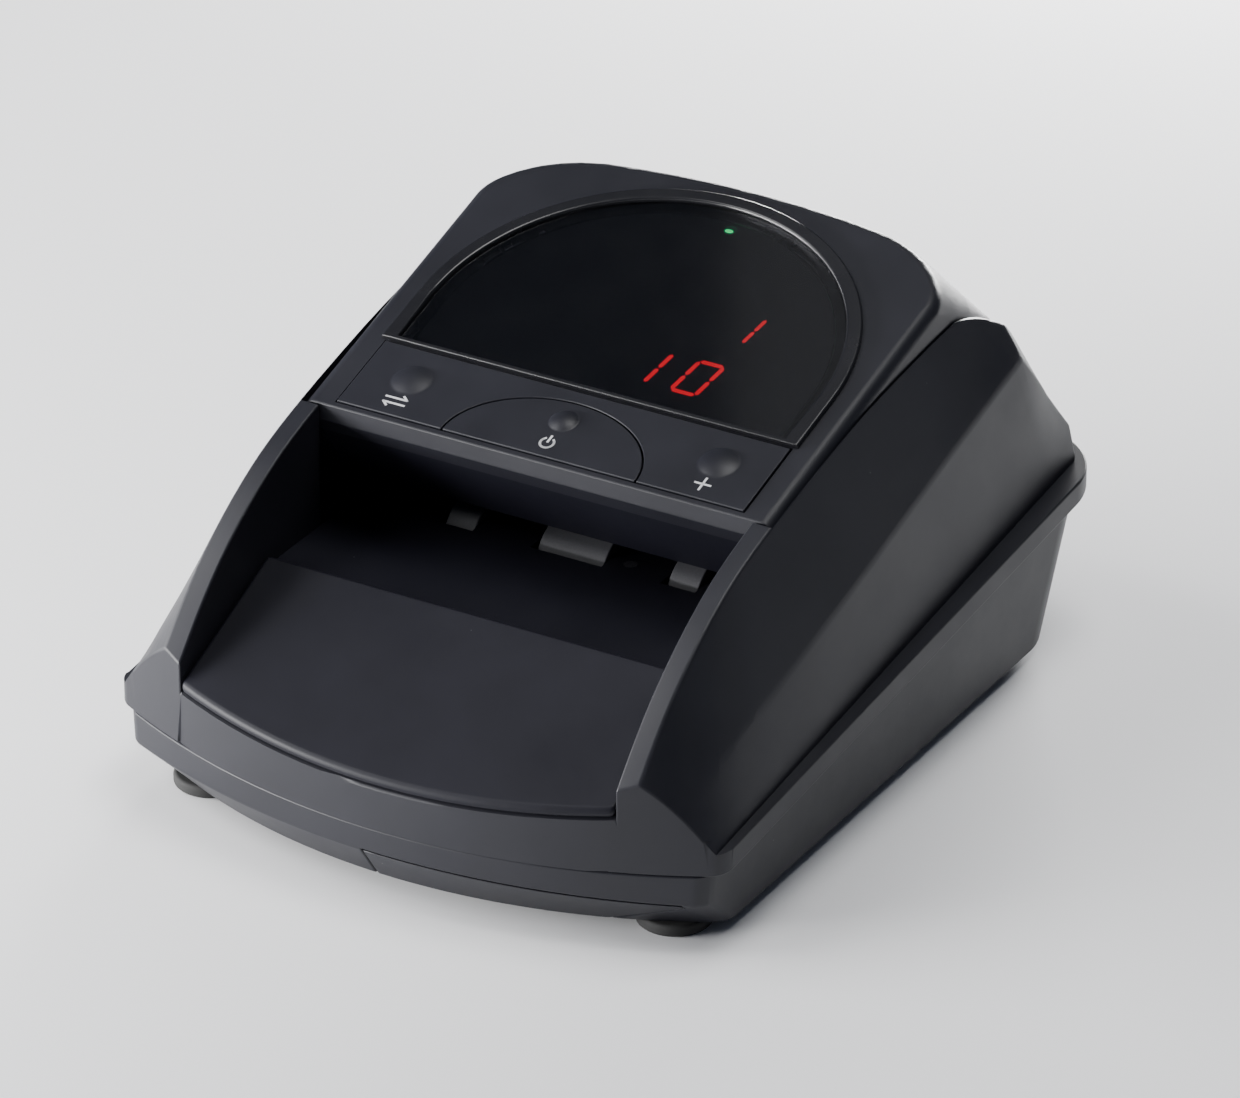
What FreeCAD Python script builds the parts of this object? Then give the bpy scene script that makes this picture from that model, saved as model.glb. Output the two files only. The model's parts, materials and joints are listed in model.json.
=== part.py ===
import FreeCAD
import Part
import math
import os
import re

import Sketcher

V = FreeCAD.Vector
DOC = FreeCAD.newDocument("NoteCounter")

# Driving sizes in millimetres; x is across, -y is the front where notes go in, z is up.
SIZES = {
    # casing outline seen from above
    "half_width": 63.0,
    "front_reach": 79.0,
    "rear_reach": 82.5,
    "front_radius": 144.0,
    "front_corner": 4.5,
    "rear_corner": 15.0,
    "wall": 2.2,
    # lower pan
    "foot_lift": 2.4,
    "crease_height": 10.0,
    "bevel_inset": 5.4,
    "bevel_radius": 115.0,
    "pan_inset": 2.2,
    "pan_draft": 1.2,
    "rear_overhang": 1.5,
    "rear_draft": 0.335,
    # line where the two casing halves meet, and the skirt above it
    "part_height": 22.6,
    "part_slope": 0.098,
    "skirt_height": 4.4,
    "ledge_front": 1.3,
    "ledge_rear": 4.6,
    # shoulders beside the hood
    "crease_inset": 2.5,
    "crease_drop": 16.8,
    "crease_middle": -9.0,
    "crease_rise": 0.27,
    "crease_bow": 0.0003,
    "shoulder_drop": 7.5,
    "shoulder_span": 66.8,
    "shoulder_round": 36.0,
    "crease_pinch": 0.15,
    "pinch_back": 21.4,
    "fade_start": 14.0,
    "fade_run": 58.0,
    "fade_share": 0.6,
    "wing_bend_drop": 22.2,
    "wing_lean": 0.386,
    "wing_swell": 0.538,
    "wing_tuck": 0.145,
    "top_share": 0.6,
    # tray and note bed
    "tray_step": 3.7,
    "tray_gap": 0.15,
    "tray_slope": 0.424,
    "tray_thickness": 2.0,
    "crest_reach": 42.5,
    "crest_rise": 2.4,
    "crest_run": 1.0,
    "lip_gap": 0.3,
    "bed_drop": 24.6,
    "bed_end_gap": 0.3,
    "ramp_back": 0.5,
    "guide_inset": 3.4,
    "guide_rise": 4.6,
    "guide_front": -22.0,
    "guide_neck": -8.0,
    "guide_end": 58.0,
    "rail_back": 10.0,
    "rail_front_height": 35.3,
    "knee_slope": 0.9,
    "rail_radius": 86.0,
    # hood
    "shoulder_width": 14.3,
    "hood_gap": 0.3,
    "hood_front": -23.4,
    "hood_front_height": 63.2,
    "hood_angle": 15.6,
    "hood_length": 80.8,
    "hood_lip": 3.5,
    "hood_rear_radius": 117.0,
    "hood_corner": 30.0,
    "hood_edge": 2.4,
    "hood_bend_rise": 2.8,
    "hood_foot_radius": 1200.0,
    "hood_foot_corner": 4.5,
    "hinge_arm_reach": 26.0,
    "hinge_eye_radius": 4.0,
    "rear_lean": 0.5,
    "slot_height": 5.0,
    "exit_slope": 0.27,
    "nose_reach": 11.8,
    "hinge_y": 66.0,
    "hinge_rise": 2.9,
    "hinge_pin_radius": 2.0,
    # display and keys, measured along the slope of the hood
    "window_start": 19.6,
    "window_centre": 33.4,
    "rim_side": 5.2,
    "rim_flange": 1.6,
    "rim_wall": 1.5,
    "rim_ledge": 1.9,
    "rim_proud": 0.9,
    "rim_foot": 0.3,
    "rim_seat": 1.05,
    "rim_leg_radius": 1.35,
    "rim_leg_back": 6.0,
    "glass_thickness": 1.6,
    "glass_gap": 0.1,
    "key_start": 1.4,
    "key_end": 19.0,
    "key_side": 6.4,
    "key_gap": 0.3,
    "key_thickness": 2.0,
    "key_proud": 0.3,
    "power_half": 20.0,
    "power_depth": 14.5,
    "bump_side": 10.3,
    "bump_u": 10.9,
    "side_bump_radius": 4.2,
    "power_bump_radius": 3.0,
    "bump_rise": 0.9,
    "board_thickness": 1.6,
    "board_drop": 8.0,
    "board_gap": 0.4,
    "board_back": 2.6,
    "pivot_reach": 1.8,
    "switch_size": 6.0,
    "switch_height": 3.6,
    "switch_stem": 1.6,
    "switch_top": 2.7,
    "digit_drop": 3.2,
    "led_radius": 1.2,
    "led_x": 1.9,
    "led_share": 0.85,
    # rollers, shafts and drive
    "roller_radius": 8.0,
    "roller_rise": 2.6,
    "roller_side_in": 20.2,
    "roller_side_out": 26.5,
    "roller_centre_half": 7.0,
    "slot_gap": 0.5,
    "front_axle": -4.0,
    "rear_axle": 46.0,
    "shaft_radius": 2.5,
    "run_gap": 0.05,
    "seat_gap": 0.02,
    "nip_gap": 0.3,
    "pinch_radius": 5.0,
    "pinch_axle_radius": 1.5,
    "pinch_axle_half": 32.0,
    "ear_inner": 29.0,
    "ear_thickness": 2.0,
    "ear_half": 4.0,
    "ear_rise": 3.5,
    "plate_gap": 0.5,
    "plate_thickness": 2.0,
    "plate_front": -14.0,
    "plate_rear": 58.0,
    "bush_radius": 4.0,
    "bush_flange": 0.8,
    "pulley_width": 3.2,
    "shaft_pulley_radius": 7.0,
    "motor_pulley_radius": 3.5,
    "belt_thickness": 1.0,
    "belt_gap": 0.2,
    "motor_y": 21.0,
    "motor_radius": 12.0,
    "motor_gap": 0.4,
    "motor_length": 30.0,
    "motor_shaft_radius": 1.5,
    "motor_bore": 12.0,
    "motor_hole": 3.0,
    # base fittings
    "foot_side": 14.5,
    "foot_back": 22.0,
    "rear_foot_y": 52.0,
    "foot_radius": 7.0,
    "post_side": 7.0,
    "front_post_y": -34.0,
    "rear_post_y": 61.0,
    "post_radius": 3.5,
    "screw_radius": 1.5,
    "screw_head_radius": 2.8,
    "screw_head_height": 1.6,
    "screw_grip": 1.4,
    "mainboard_x": -8.0,
    "mainboard_side": 2.5,
    "mainboard_front": 8.0,
    "mainboard_rear": 28.5,
    "standoff_height": 4.4,
    "standoff_radius": 2.6,
    "standoff_inset": 4.0,
    "chip_height": 1.6,
    "capacitor_radius": 3.4,
    "capacitor_height": 8.8,
    "socket_share": 0.22,
    "socket_size": 4.4,
    "board_screw_radius": 1.2,
    "board_screw_head": 2.2,
    "board_screw_depth": 3.0,
    "guide_screw_head": 1.6,
    "battery_x": 0.0,
    "battery_back": 3.0,
    "battery_side": 15.0,
    "battery_width": 17.0,
    "battery_height": 14.0,
    "door_left": -3.0,
    "door_side": 7.0,
    "door_depth": 13.0,
    "door_gap": 0.25,
    "jack_x": 20.0,
    "jack_size": 9.0,
    "jack_height": 9.5,
    "jack_depth": 13.0,
    "jack_bore": 2.7,
    "jack_mouth": 9.1,
    "jack_pin_radius": 0.95,
    "jack_pin_root": 0.65,
    "jack_pin_sunk": 1.3,
    "jack_leg": 6.5,
    "jack_recess": 1.0,
    "sensor_y": 20.0,
    "sensor_width": 9.0,
    "sensor_side": 11.0,
    "sensor_depth": 1.2,
    "lens_x": 11.6,
    "lens_y": -9.0,
    "lens_radius": 1.3,
    "boss_side": 2.2,
    "boss_radius": 2.4,
    "front_boss_y": 10.0,
    "rear_boss_y": 40.0,
}

# Places worked out from the driving sizes.
DERIVED = {
    "floor_top": "foot_lift + wall",
    "hood_half": "half_width - shoulder_width",
    "tray_half": "hood_half - tray_step",
    "bed_height": "hood_front_height - bed_drop",
    "crest_height": "bed_height + crest_rise",
    "shoulder_crease": "hood_front_height - crease_drop",
    "rail_reach": "front_reach - rail_back",
    "bed_under": "bed_height - tray_thickness",
    "axle_height": "bed_height + roller_rise - roller_radius",
    "pinch_height": "bed_height + roller_rise + nip_gap + pinch_radius",
    "guide_under": "bed_height + slot_height",
    "guide_top": "guide_under + tray_thickness",
    "hinge_height": "guide_under + hinge_rise",
    "motor_height": "floor_top + motor_radius + motor_gap",
    "plate_outer": "pocket_half - plate_gap",
    "plate_inner": "plate_outer - plate_thickness",
    "plate_top": "axle_height + bush_radius + wall",
    "pulley_start": "pocket_half + wall + plate_gap",
    "pulley_end": "pulley_start + pulley_width",
    "wing_half": "half_width - ledge_front",
    "wing_bend": "hood_front_height - wing_bend_drop",
    "hood_bend": "hood_front_height + hood_bend_rise",
    "pocket_half": "hood_half + hood_gap",
    "hood_inner": "hood_half - wall",
    "rim_half": "hood_half - rim_side",
    "opening_half": "rim_half - rim_flange",
    "opening_start": "window_start + rim_flange * rim_foot",
    "glass_half": "opening_half - seat_gap - rim_wall",
    "key_half": "hood_half - key_side",
    "side_bump_x": "key_half - bump_side",
    "key_under": "key_thickness - key_proud",
    "mainboard_under": "floor_top + standoff_height",
    "mainboard_top": "mainboard_under + board_thickness",
    "mainboard_y": "battery_y + battery_width + mainboard_front",
    "mainboard_length": "post_x - post_radius - mainboard_side - mainboard_x",
    "mainboard_width": "rear_reach - mainboard_rear - mainboard_y",
    "door_reach": "front_reach - door_depth",
    "door_right": "half_width - door_side",
    "battery_y": "battery_back - door_reach",
    "battery_length": "half_width - battery_side - battery_x",
    "foot_x": "half_width - foot_side",
    "front_foot_y": "foot_back - front_reach",
    "post_x": "tray_half - post_side",
    "sensor_half": "tray_half - sensor_side",
    "led_u": "window_centre + rim_half * led_share",
    "board_start": "key_start + board_back",
    "boss_x": "hood_inner - boss_side",
    "bush_bore": "shaft_radius + run_gap",
    "bush_seat": "bush_radius + seat_gap",
}

SHEET = DOC.addObject("Spreadsheet::Sheet", "Dims")
for row, (alias, size) in enumerate(SIZES.items(), start=1):
    SHEET.set("A%d" % row, alias)
    SHEET.set("B%d" % row, str(size))
    SHEET.setAlias("B%d" % row, alias)
DOC.recompute()

WORD = re.compile(r"[a-z_]+")
NODES = {}


def expand(text):
    """Turn the plain names in a formula into references to the sheet."""
    def swap(match):
        word = match.group(0)
        if word in DERIVED:
            return "(" + expand(DERIVED[word]) + ")"
        if word in SIZES:
            return "Dims." + word
        raise KeyError(word)
    return WORD.sub(swap, str(text))


def val(text):
    """The number that a formula gives with the sheet as it stands."""
    return float(SHEET.evalExpression(expand(text)))


def bind(obj, **formulas):
    for prop, text in formulas.items():
        obj.setExpression(prop, expand(text))


def keep(label, obj):
    obj.Label = label
    NODES[label] = obj
    return obj


def place(obj, x, y, z):
    obj.setExpression("Placement.Base.x", expand(x))
    obj.setExpression("Placement.Base.y", expand(y))
    obj.setExpression("Placement.Base.z", expand(z))


def box(name, start, end):
    """A box between two corners, each given as three formulas."""
    obj = DOC.addObject("Part::Box", name)
    for prop, low, high in zip(("Length", "Width", "Height"), start, end):
        obj.setExpression(prop, expand("(%s) - (%s)" % (high, low)))
    place(obj, *start)
    return obj


TURNS = {
    "x": FreeCAD.Rotation(V(0, 1, 0), 90),
    "z": FreeCAD.Rotation(),
}


def rod(name, axis, start, length, radius):
    """A cylinder that starts at a point and runs along x or z."""
    obj = DOC.addObject("Part::Cylinder", name)
    obj.Placement = FreeCAD.Placement(V(), TURNS[axis])
    bind(obj, Radius=radius, Height=length)
    place(obj, *start)
    return obj


def cut(name, base, tools):
    tool = tools[0] if len(tools) == 1 else fuse(name + "Tools", tools)
    obj = DOC.addObject("Part::Cut", name)
    obj.Base = base
    obj.Tool = tool
    return obj


def fuse(name, shapes):
    obj = DOC.addObject("Part::MultiFuse", name)
    obj.Shapes = shapes
    return obj


def group(name, shapes):
    """Separate solids that make one node."""
    obj = DOC.addObject("Part::Compound", name)
    obj.Links = shapes
    return obj


def tube(name, axis, start, length, radius, bore):
    outer = rod(name + "Outer", axis, start, length, radius)
    inner = rod(name + "Bore", axis, start, length, bore)
    return cut(name, outer, [inner])


def solid(name, shape):
    """A form that only curves and lofts can give."""
    obj = DOC.addObject("Part::Feature", name)
    obj.Shape = shape
    return obj


def plate_body(name, role, corners, thickness, circles=(), holes=()):
    """A padded sketch: one polygon, with round holes and inner polygons, on an origin plane."""
    body = DOC.addObject("PartDesign::Body", name)
    plane = [f for f in body.Origin.OriginFeatures if f.Role == role][0]
    sketch = body.newObject("Sketcher::SketchObject", name + "Sketch")
    sketch.AttachmentSupport = [(plane, "")]
    sketch.MapMode = "FlatFace"

    def pin(edge, point, formula, kind):
        index = sketch.addConstraint(Sketcher.Constraint(kind, edge, point, val(formula)))
        sketch.setExpression("Constraints[%d]" % index, expand(formula))

    for loop in [corners] + list(holes):
        spots = [V(val(a), val(b), 0) for a, b in loop]
        first = sketch.GeometryCount
        count = len(loop)
        for i in range(count):
            sketch.addGeometry(Part.LineSegment(spots[i], spots[(i + 1) % count]), False)
        for i in range(count):
            follower = first + (i + 1) % count
            sketch.addConstraint(Sketcher.Constraint("Coincident", first + i, 2, follower, 1))
        for i, (a, b) in enumerate(loop):
            pin(first + i, 1, a, "DistanceX")
            pin(first + i, 1, b, "DistanceY")
    for a, b, radius in circles:
        centre = V(val(a), val(b), 0)
        index = sketch.addGeometry(Part.Circle(centre, V(0, 0, 1), val(radius)), False)
        pin(index, 3, a, "DistanceX")
        pin(index, 3, b, "DistanceY")
        size = sketch.addConstraint(Sketcher.Constraint("Radius", index, val(radius)))
        sketch.setExpression("Constraints[%d]" % size, expand(radius))
    pad = body.newObject("PartDesign::Pad", name + "Pad")
    pad.Profile = sketch
    pad.setExpression("Length", expand(thickness))
    body.Tip = pad
    return body


def rectangle(a0, b0, a1, b1):
    return [(a0, b0), (a1, b0), (a1, b1), (a0, b1)]


def yz_prism(points, half, start=None):
    """A side view outline drawn out across x, from -half to half or from start to half."""
    low = -half if start is None else start
    spots = [V(low, y, z) for y, z in points]
    face = Part.Face(Part.makePolygon(spots + spots[:1]))
    return face.extrude(V(half - low, 0, 0))


def block(x0, x1, y0, y1, z0, z1):
    return Part.makeBox(x1 - x0, y1 - y0, z1 - z0, V(x0, y0, z0))


def both_sides(shape):
    return [shape, shape.mirror(V(), V(1, 0, 0))]


# Far beyond the casing in every direction, for cutting tools.
FAR = 3.0 * val("half_width + front_reach")


def plan_wire(half, reach, rear, z, front_corner, rear_corner, front_radius=None):
    """The outline seen from above: bowed front, straight sides and rear, four round corners."""
    bow = val("front_radius") if front_radius is None else front_radius
    centre = V(0, bow - reach, z)
    drop = math.sqrt((bow - front_corner) ** 2 - (half - front_corner) ** 2)
    spot = V(half - front_corner, centre.y - drop, z)
    out = (spot - centre).normalize()
    bow_end = centre + out * bow
    bend = spot + (out + V(1, 0, 0)).normalize() * front_corner
    side_low = V(half, spot.y, z)
    side_high = V(half, rear - rear_corner, z)
    turn = rear_corner * (1 - math.sqrt(0.5))
    rear_bend = V(half - turn, rear - turn, z)
    rear_end = V(half - rear_corner, rear, z)

    def flip(point):
        return V(-point.x, point.y, point.z)

    edges = [
        Part.Arc(flip(bow_end), V(0, -reach, z), bow_end),
        Part.Arc(bow_end, bend, side_low),
        Part.LineSegment(side_low, side_high),
        Part.Arc(side_high, rear_bend, rear_end),
        Part.LineSegment(rear_end, flip(rear_end)),
        Part.Arc(flip(rear_end), flip(rear_bend), flip(side_high)),
        Part.LineSegment(flip(side_high), flip(side_low)),
        Part.Arc(flip(side_low), flip(bend), flip(bow_end)),
    ]
    return Part.Wire([edge.toShape() for edge in edges])


def plan_prism(half, reach, rear, low, high, front_corner, rear_corner):
    wire = plan_wire(half, reach, rear, low, front_corner, rear_corner)
    return Part.Face(wire).extrude(V(0, 0, high - low))


def part_z(y):
    return val("part_height") + val("part_slope") * y


def ledge_z(y):
    return part_z(y) + val("skirt_height")


def ledge_width(y):
    """The ledge above the skirt grows wider towards the rear."""
    share = (y + val("front_reach")) / val("front_reach + rear_reach")
    return val("ledge_front") + val("ledge_rear - ledge_front") * share


def hood_z(y):
    return val("hood_front_height") + math.tan(math.radians(val("hood_angle"))) * (y - val("hood_front"))


HOOD_COS = math.cos(math.radians(val("hood_angle")))
HOOD_REAR_Y = val("hood_front") + val("hood_length") * HOOD_COS
HOOD_REAR_Z = hood_z(HOOD_REAR_Y)


def rear_y(z):
    """The leaning rear face that hood and shoulders share."""
    return HOOD_REAR_Y + (HOOD_REAR_Z - z) * val("rear_lean")


def tray_z(y):
    return val("crest_height") + val("tray_slope") * (y + val("crest_reach"))


def rail_z(y):
    """The crowned top of the tray side, an arc from its front end up to the hood."""
    start = V(0, -val("rail_reach"), val("rail_front_height"))
    end = V(0, val("hood_front"), val("hood_front_height"))
    chord = end - start
    radius = val("rail_radius")
    sink = math.sqrt(radius ** 2 - chord.Length ** 2 / 4)
    normal = V(0, chord.z, -chord.y).normalize()
    centre = (start + end) * 0.5 + normal * sink
    return centre.z + math.sqrt(radius ** 2 - (y - centre.y) ** 2)


def shoulder_z(y):
    if y < -val("rail_reach"):
        return val("rail_front_height") + val("knee_slope") * (y + val("rail_reach"))
    if y < val("hood_front"):
        return rail_z(y)
    along = (y - val("hood_front")) / val("shoulder_span")
    return hood_z(y) - val("shoulder_drop") * along ** 2


def crease_z(y):
    past = y - val("crease_middle")
    return val("shoulder_crease") + val("crease_rise") * past - val("crease_bow") * past ** 2


# How many cross sections shape the tray sides and the shoulders behind them.
RAIL_STEPS = 4
REAR_STEPS = 5


def shoulder_form(inset):
    """Both shoulders and the tray sides as one crowned form; the crease fades out towards the front."""
    rail_start = -val("rail_reach")
    hood_start = val("hood_front")
    step = (hood_start - rail_start) / RAIL_STEPS
    rear_step = (val("rear_reach") - hood_start) / REAR_STEPS
    stations = [rail_start - step * 1.5]
    stations += [rail_start + step * i for i in range(RAIL_STEPS + 1)]
    stations += [hood_start + rear_step * i for i in range(1, REAR_STEPS + 2)]
    top = val("pocket_half") - inset * val("top_share")
    wires = []
    for y in stations:
        foot = val("half_width") - ledge_width(y) - inset
        pinch = max(0, -y - val("front_reach - pinch_back")) * val("crease_pinch")
        crease = foot - val("crease_inset") - pinch
        low = ledge_z(y)
        high = shoulder_z(y) - inset
        share = min(val("fade_share"), (crease_z(y) - low) / max(val("wall"), high - low))
        fade = min(1, max(0, -y - val("fade_start")) / val("fade_run"))
        bend_x = crease + (foot + (top - foot) * share - crease) * fade
        bend_z = crease_z(y) + (low + (high - low) * share - crease_z(y)) * fade
        half = [(foot, -val("wall")), (foot, low), (bend_x, bend_z), (top, high)]
        spots = [V(x, y, z) for x, z in half] + [V(-x, y, z) for x, z in reversed(half)]
        wires.append(Part.makePolygon(spots + spots[:1]))
    return Part.makeLoft(wires, True, False)


def wing_rear_limit(inset):
    """Everything in front of the shoulders' rear: upright at the ledge, then leaning and rounder."""
    bend = val("wing_bend")
    high = HOOD_REAR_Z + val("wall")

    def outline(z):
        past = max(0, z - bend)
        half = val("wing_half") - val("wing_tuck") * past - inset
        rear = val("rear_reach - ledge_rear") - val("wing_lean") * past - inset
        corner = val("rear_corner - ledge_rear") + val("wing_swell") * past - inset
        return plan_wire(half, FAR * 0.5, rear, z, val("front_corner"), corner, FAR * 2)

    upright = Part.Face(outline(0)).extrude(V(0, 0, bend))
    leaning = Part.makeLoft([outline(bend), outline(high)], True, True)
    return upright.fuse(leaning)


def below(line):
    return yz_prism([(-FAR, -FAR), (FAR, -FAR), (FAR, line(FAR)), (-FAR, line(-FAR))], FAR)


def shoulder_limit():
    """Everything below the level of the shoulders, rolled over into the leaning rear face."""
    tallest = max(shoulder_z(y) for y in range(round(val("hood_front")), round(HOOD_REAR_Y)))
    radius = val("shoulder_round")
    lean = math.atan(val("rear_lean"))
    turn = math.pi / 2 + lean
    edge_y = rear_y(tallest)
    back_off = radius * math.tan((math.pi - turn) / 2)
    level_end = V(0, edge_y - back_off, tallest)
    centre = V(0, level_end.y, tallest - radius)
    rear_end = centre + V(0, math.cos(lean), math.sin(lean)) * radius
    half_way = turn / 2
    bend = centre + V(0, math.cos(half_way), math.sin(half_way)) * radius
    foot = V(0, rear_y(-FAR), -FAR)
    corner = V(0, -FAR, -FAR)
    start = V(0, -FAR, tallest)
    edges = [Part.LineSegment(start, level_end).toShape(), Part.Arc(level_end, bend, rear_end).toShape(),
             Part.LineSegment(rear_end, foot).toShape(), Part.LineSegment(foot, corner).toShape(),
             Part.LineSegment(corner, start).toShape()]
    side = Part.Face(Part.Wire(edges)).extrude(V(FAR * 2, 0, 0))
    side.translate(V(-FAR, 0, 0))
    return side


# Lower pan with its bevelled front, leaning rear and posts.
def pan_wire(z, inset, reach, bow):
    share = (z - val("foot_lift")) / (val("part_height") - val("foot_lift"))
    half = val("half_width - pan_inset") - val("pan_draft") * (1 - share) - inset
    drop = part_z(val("rear_reach")) - z
    rear = val("rear_reach - rear_overhang") - val("rear_draft") * drop - inset
    return plan_wire(half, reach - inset, rear, z, val("front_corner"), val("rear_corner"), bow)


def pan_form(inset, low):
    bottom_reach = val("front_reach - bevel_inset")
    bevel_share = (low - val("foot_lift")) / val("crease_height - foot_lift")
    low_reach = bottom_reach + val("bevel_inset") * bevel_share
    low_bow = val("bevel_radius") + val("front_radius - bevel_radius") * bevel_share
    reach = val("front_reach")
    bow = val("front_radius")
    bottom = pan_wire(low, inset, low_reach, low_bow)
    crease = pan_wire(val("crease_height"), inset, reach, bow)
    brim = pan_wire(part_z(val("rear_reach")) + val("skirt_height"), inset, reach, bow)
    lower = Part.makeLoft([bottom, crease], True, True)
    upper = Part.makeLoft([crease, brim], True, True)
    return lower.fuse(upper).removeSplitter()


pan_shell = pan_form(0, val("foot_lift")).cut(pan_form(val("wall"), val("floor_top")))
pan_shell = pan_shell.common(below(part_z))
door_top = val("crease_height")
gap = val("door_gap")
door_space = block(val("door_left"), val("door_right"), -FAR, -val("door_reach"), -FAR, door_top)
door_tool = block(val("door_left") + gap, val("door_right") - gap, -FAR, -val("door_reach") - gap,
                  -FAR, door_top - gap)
keep("battery_door", solid("BatteryDoor", pan_shell.common(door_tool)))
pan_walls = solid("PanWalls", pan_shell.cut(door_space))

posts = []
post_bores = []
tray_screws = []
for side, x in (("Left", "-post_x"), ("Right", "post_x")):
    for end, y in (("Front", "front_post_y"), ("Rear", "rear_post_y")):
        tag = side + end
        posts.append(rod("Post" + tag, "z", (x, y, "foot_lift"), "bed_under - foot_lift", "post_radius"))
        post_bores.append(rod("PostBore" + tag, "z", (x, y, "0"), "bed_under + wall",
                              "screw_radius + run_gap"))
        post_bores.append(rod("PostHead" + tag, "z", (x, y, "0"), "foot_lift + screw_head_height",
                              "screw_head_radius + run_gap"))
        shank = rod("TrayShank" + tag, "z", (x, y, "foot_lift"), "bed_under - foot_lift + screw_grip",
                    "screw_radius")
        head = rod("TrayHead" + tag, "z", (x, y, "foot_lift"), "screw_head_height", "screw_head_radius")
        tray_screws.append(fuse("TrayScrew" + tag, [shank, head]))
keep("tray_screws", group("TrayScrews", tray_screws))

BOARD_SPOTS = [
    ("mainboard_x + standoff_inset", "mainboard_y + standoff_inset"),
    ("mainboard_x + mainboard_length - standoff_inset", "mainboard_y + standoff_inset"),
    ("mainboard_x + standoff_inset", "mainboard_y + mainboard_width - standoff_inset"),
    ("mainboard_x + mainboard_length - standoff_inset", "mainboard_y + mainboard_width - standoff_inset"),
]
standoff_bores = []
board_screws = []
for i, (x, y) in enumerate(BOARD_SPOTS):
    posts.append(rod("Standoff%d" % i, "z", (x, y, "foot_lift"), "wall + standoff_height",
                     "standoff_radius"))
    standoff_bores.append(rod("StandoffBore%d" % i, "z", (x, y, "mainboard_under - board_screw_depth"),
                              "board_screw_depth + wall", "board_screw_radius + seat_gap"))
    shank = rod("BoardShank%d" % i, "z", (x, y, "mainboard_under - board_screw_depth"),
                "board_screw_depth + board_thickness", "board_screw_radius")
    head = rod("BoardHead%d" % i, "z", (x, y, "mainboard_top"), "screw_head_height", "board_screw_head")
    board_screws.append(fuse("BoardScrew%d" % i, [shank, head]))
keep("board_screws", group("BoardScrews", board_screws))

JACK_DROP = part_z(val("rear_reach")) - val("jack_height + jack_size/2")
JACK_FACE = val("rear_reach - rear_overhang") - val("rear_draft") * JACK_DROP
jack_left = val("jack_x - jack_size/2")
jack_right = val("jack_x + jack_size/2")
jack_low = val("jack_height")
jack_high = val("jack_height + jack_size")
jack_hole = solid("JackHole", block(jack_left - gap, jack_right + gap, JACK_FACE - val("jack_depth"), FAR,
                                    jack_low - gap, jack_high + gap))
pan_with_posts = fuse("PanWithPosts", [pan_walls] + posts)
keep("base_pan", cut("BasePan", pan_with_posts, post_bores + standoff_bores + [jack_hole]))

# Power jack: a block on a leg with a round mouth and a centre pin.
jack_end = JACK_FACE - val("jack_recess")
jack_start = jack_end - val("jack_depth")
jack_middle = val("jack_height + jack_size/2")
jack = block(jack_left, jack_right, jack_start, jack_end, jack_low, jack_high)
mouth_end = V(val("jack_x"), jack_end, jack_middle)
jack_mouth = Part.makeCylinder(val("jack_bore"), val("jack_mouth"), mouth_end, V(0, -1, 0))
pin_root = mouth_end - V(0, val("jack_mouth + jack_pin_root"), 0)
jack_pin = Part.makeCylinder(val("jack_pin_radius"), val("jack_mouth + jack_pin_root - jack_pin_sunk"),
                             pin_root, V(0, 1, 0))
jack_leg = block(jack_left, jack_right, jack_start, jack_start + val("jack_leg"), val("floor_top"), jack_low)
keep("power_jack", solid("PowerJack", jack.cut(jack_mouth).fuse([jack_pin, jack_leg])))

feet = []
for side, x in (("Left", "-foot_x"), ("Right", "foot_x")):
    for end, y in (("Front", "front_foot_y"), ("Rear", "rear_foot_y")):
        feet.append(rod("Foot" + side + end, "z", (x, y, "0"), "foot_lift", "foot_radius"))
keep("rubber_feet", group("RubberFeet", feet))

# Upper shell: skirt, shoulders and tray sides in one moulding.
wall = val("wall")
reach = val("front_reach")
rear = val("rear_reach")
front_corner = val("front_corner")
rear_corner = val("rear_corner")
top = HOOD_REAR_Z + wall
skirt_plan = plan_prism(val("half_width"), reach, rear, 0, top, front_corner, rear_corner)
outer = shoulder_form(0).common(skirt_plan).common(wing_rear_limit(0))
outer = outer.common(shoulder_limit())
skirt = skirt_plan.common(below(ledge_z))
outer = outer.fuse(skirt).cut(below(part_z))
inner_plan = plan_prism(val("half_width - pan_inset - wall"), reach - wall,
                        val("rear_reach - rear_overhang - wall"), 0, top, front_corner, rear_corner)
inner = shoulder_form(wall).common(inner_plan).common(wing_rear_limit(wall))

tray_half = val("tray_half")
pocket = val("pocket_half")
bed_under = val("bed_under")
crest_y = -val("crest_reach")
pocket_y = val("hood_front - hood_gap")
lip_under = val("tray_thickness + lip_gap")
pocket_low = bed_under - val("lip_gap")
rail_line = [(-FAR, tray_z(-FAR) - lip_under - wall), (crest_y, bed_under), (pocket_y, bed_under),
             (pocket_y, FAR), (-FAR, FAR)]
walls = [
    *both_sides(yz_prism(rail_line, tray_half + wall, tray_half)),
    *both_sides(block(pocket, pocket + wall, pocket_y - wall, FAR, bed_under, FAR)),
    *both_sides(block(tray_half, pocket + wall, pocket_y - wall, pocket_y, bed_under, FAR)),
]
ledge_start = -val("rail_reach")
ledge_end = crest_y - wall
ledge_line = [(ledge_start, tray_z(ledge_start) - val("tray_thickness") - wall),
              (ledge_end, tray_z(ledge_end) - val("tray_thickness") - wall),
              (ledge_end, tray_z(ledge_end) - val("tray_thickness")),
              (ledge_start, tray_z(ledge_start) - val("tray_thickness"))]
ledges = both_sides(yz_prism(ledge_line, tray_half + wall, tray_half - wall))
channel_line = [(-FAR, tray_z(-FAR) - lip_under), (crest_y, tray_z(crest_y) - lip_under),
                (crest_y, pocket_low), (FAR, pocket_low), (FAR, FAR), (-FAR, FAR)]
channel = yz_prism(channel_line, tray_half)
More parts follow.
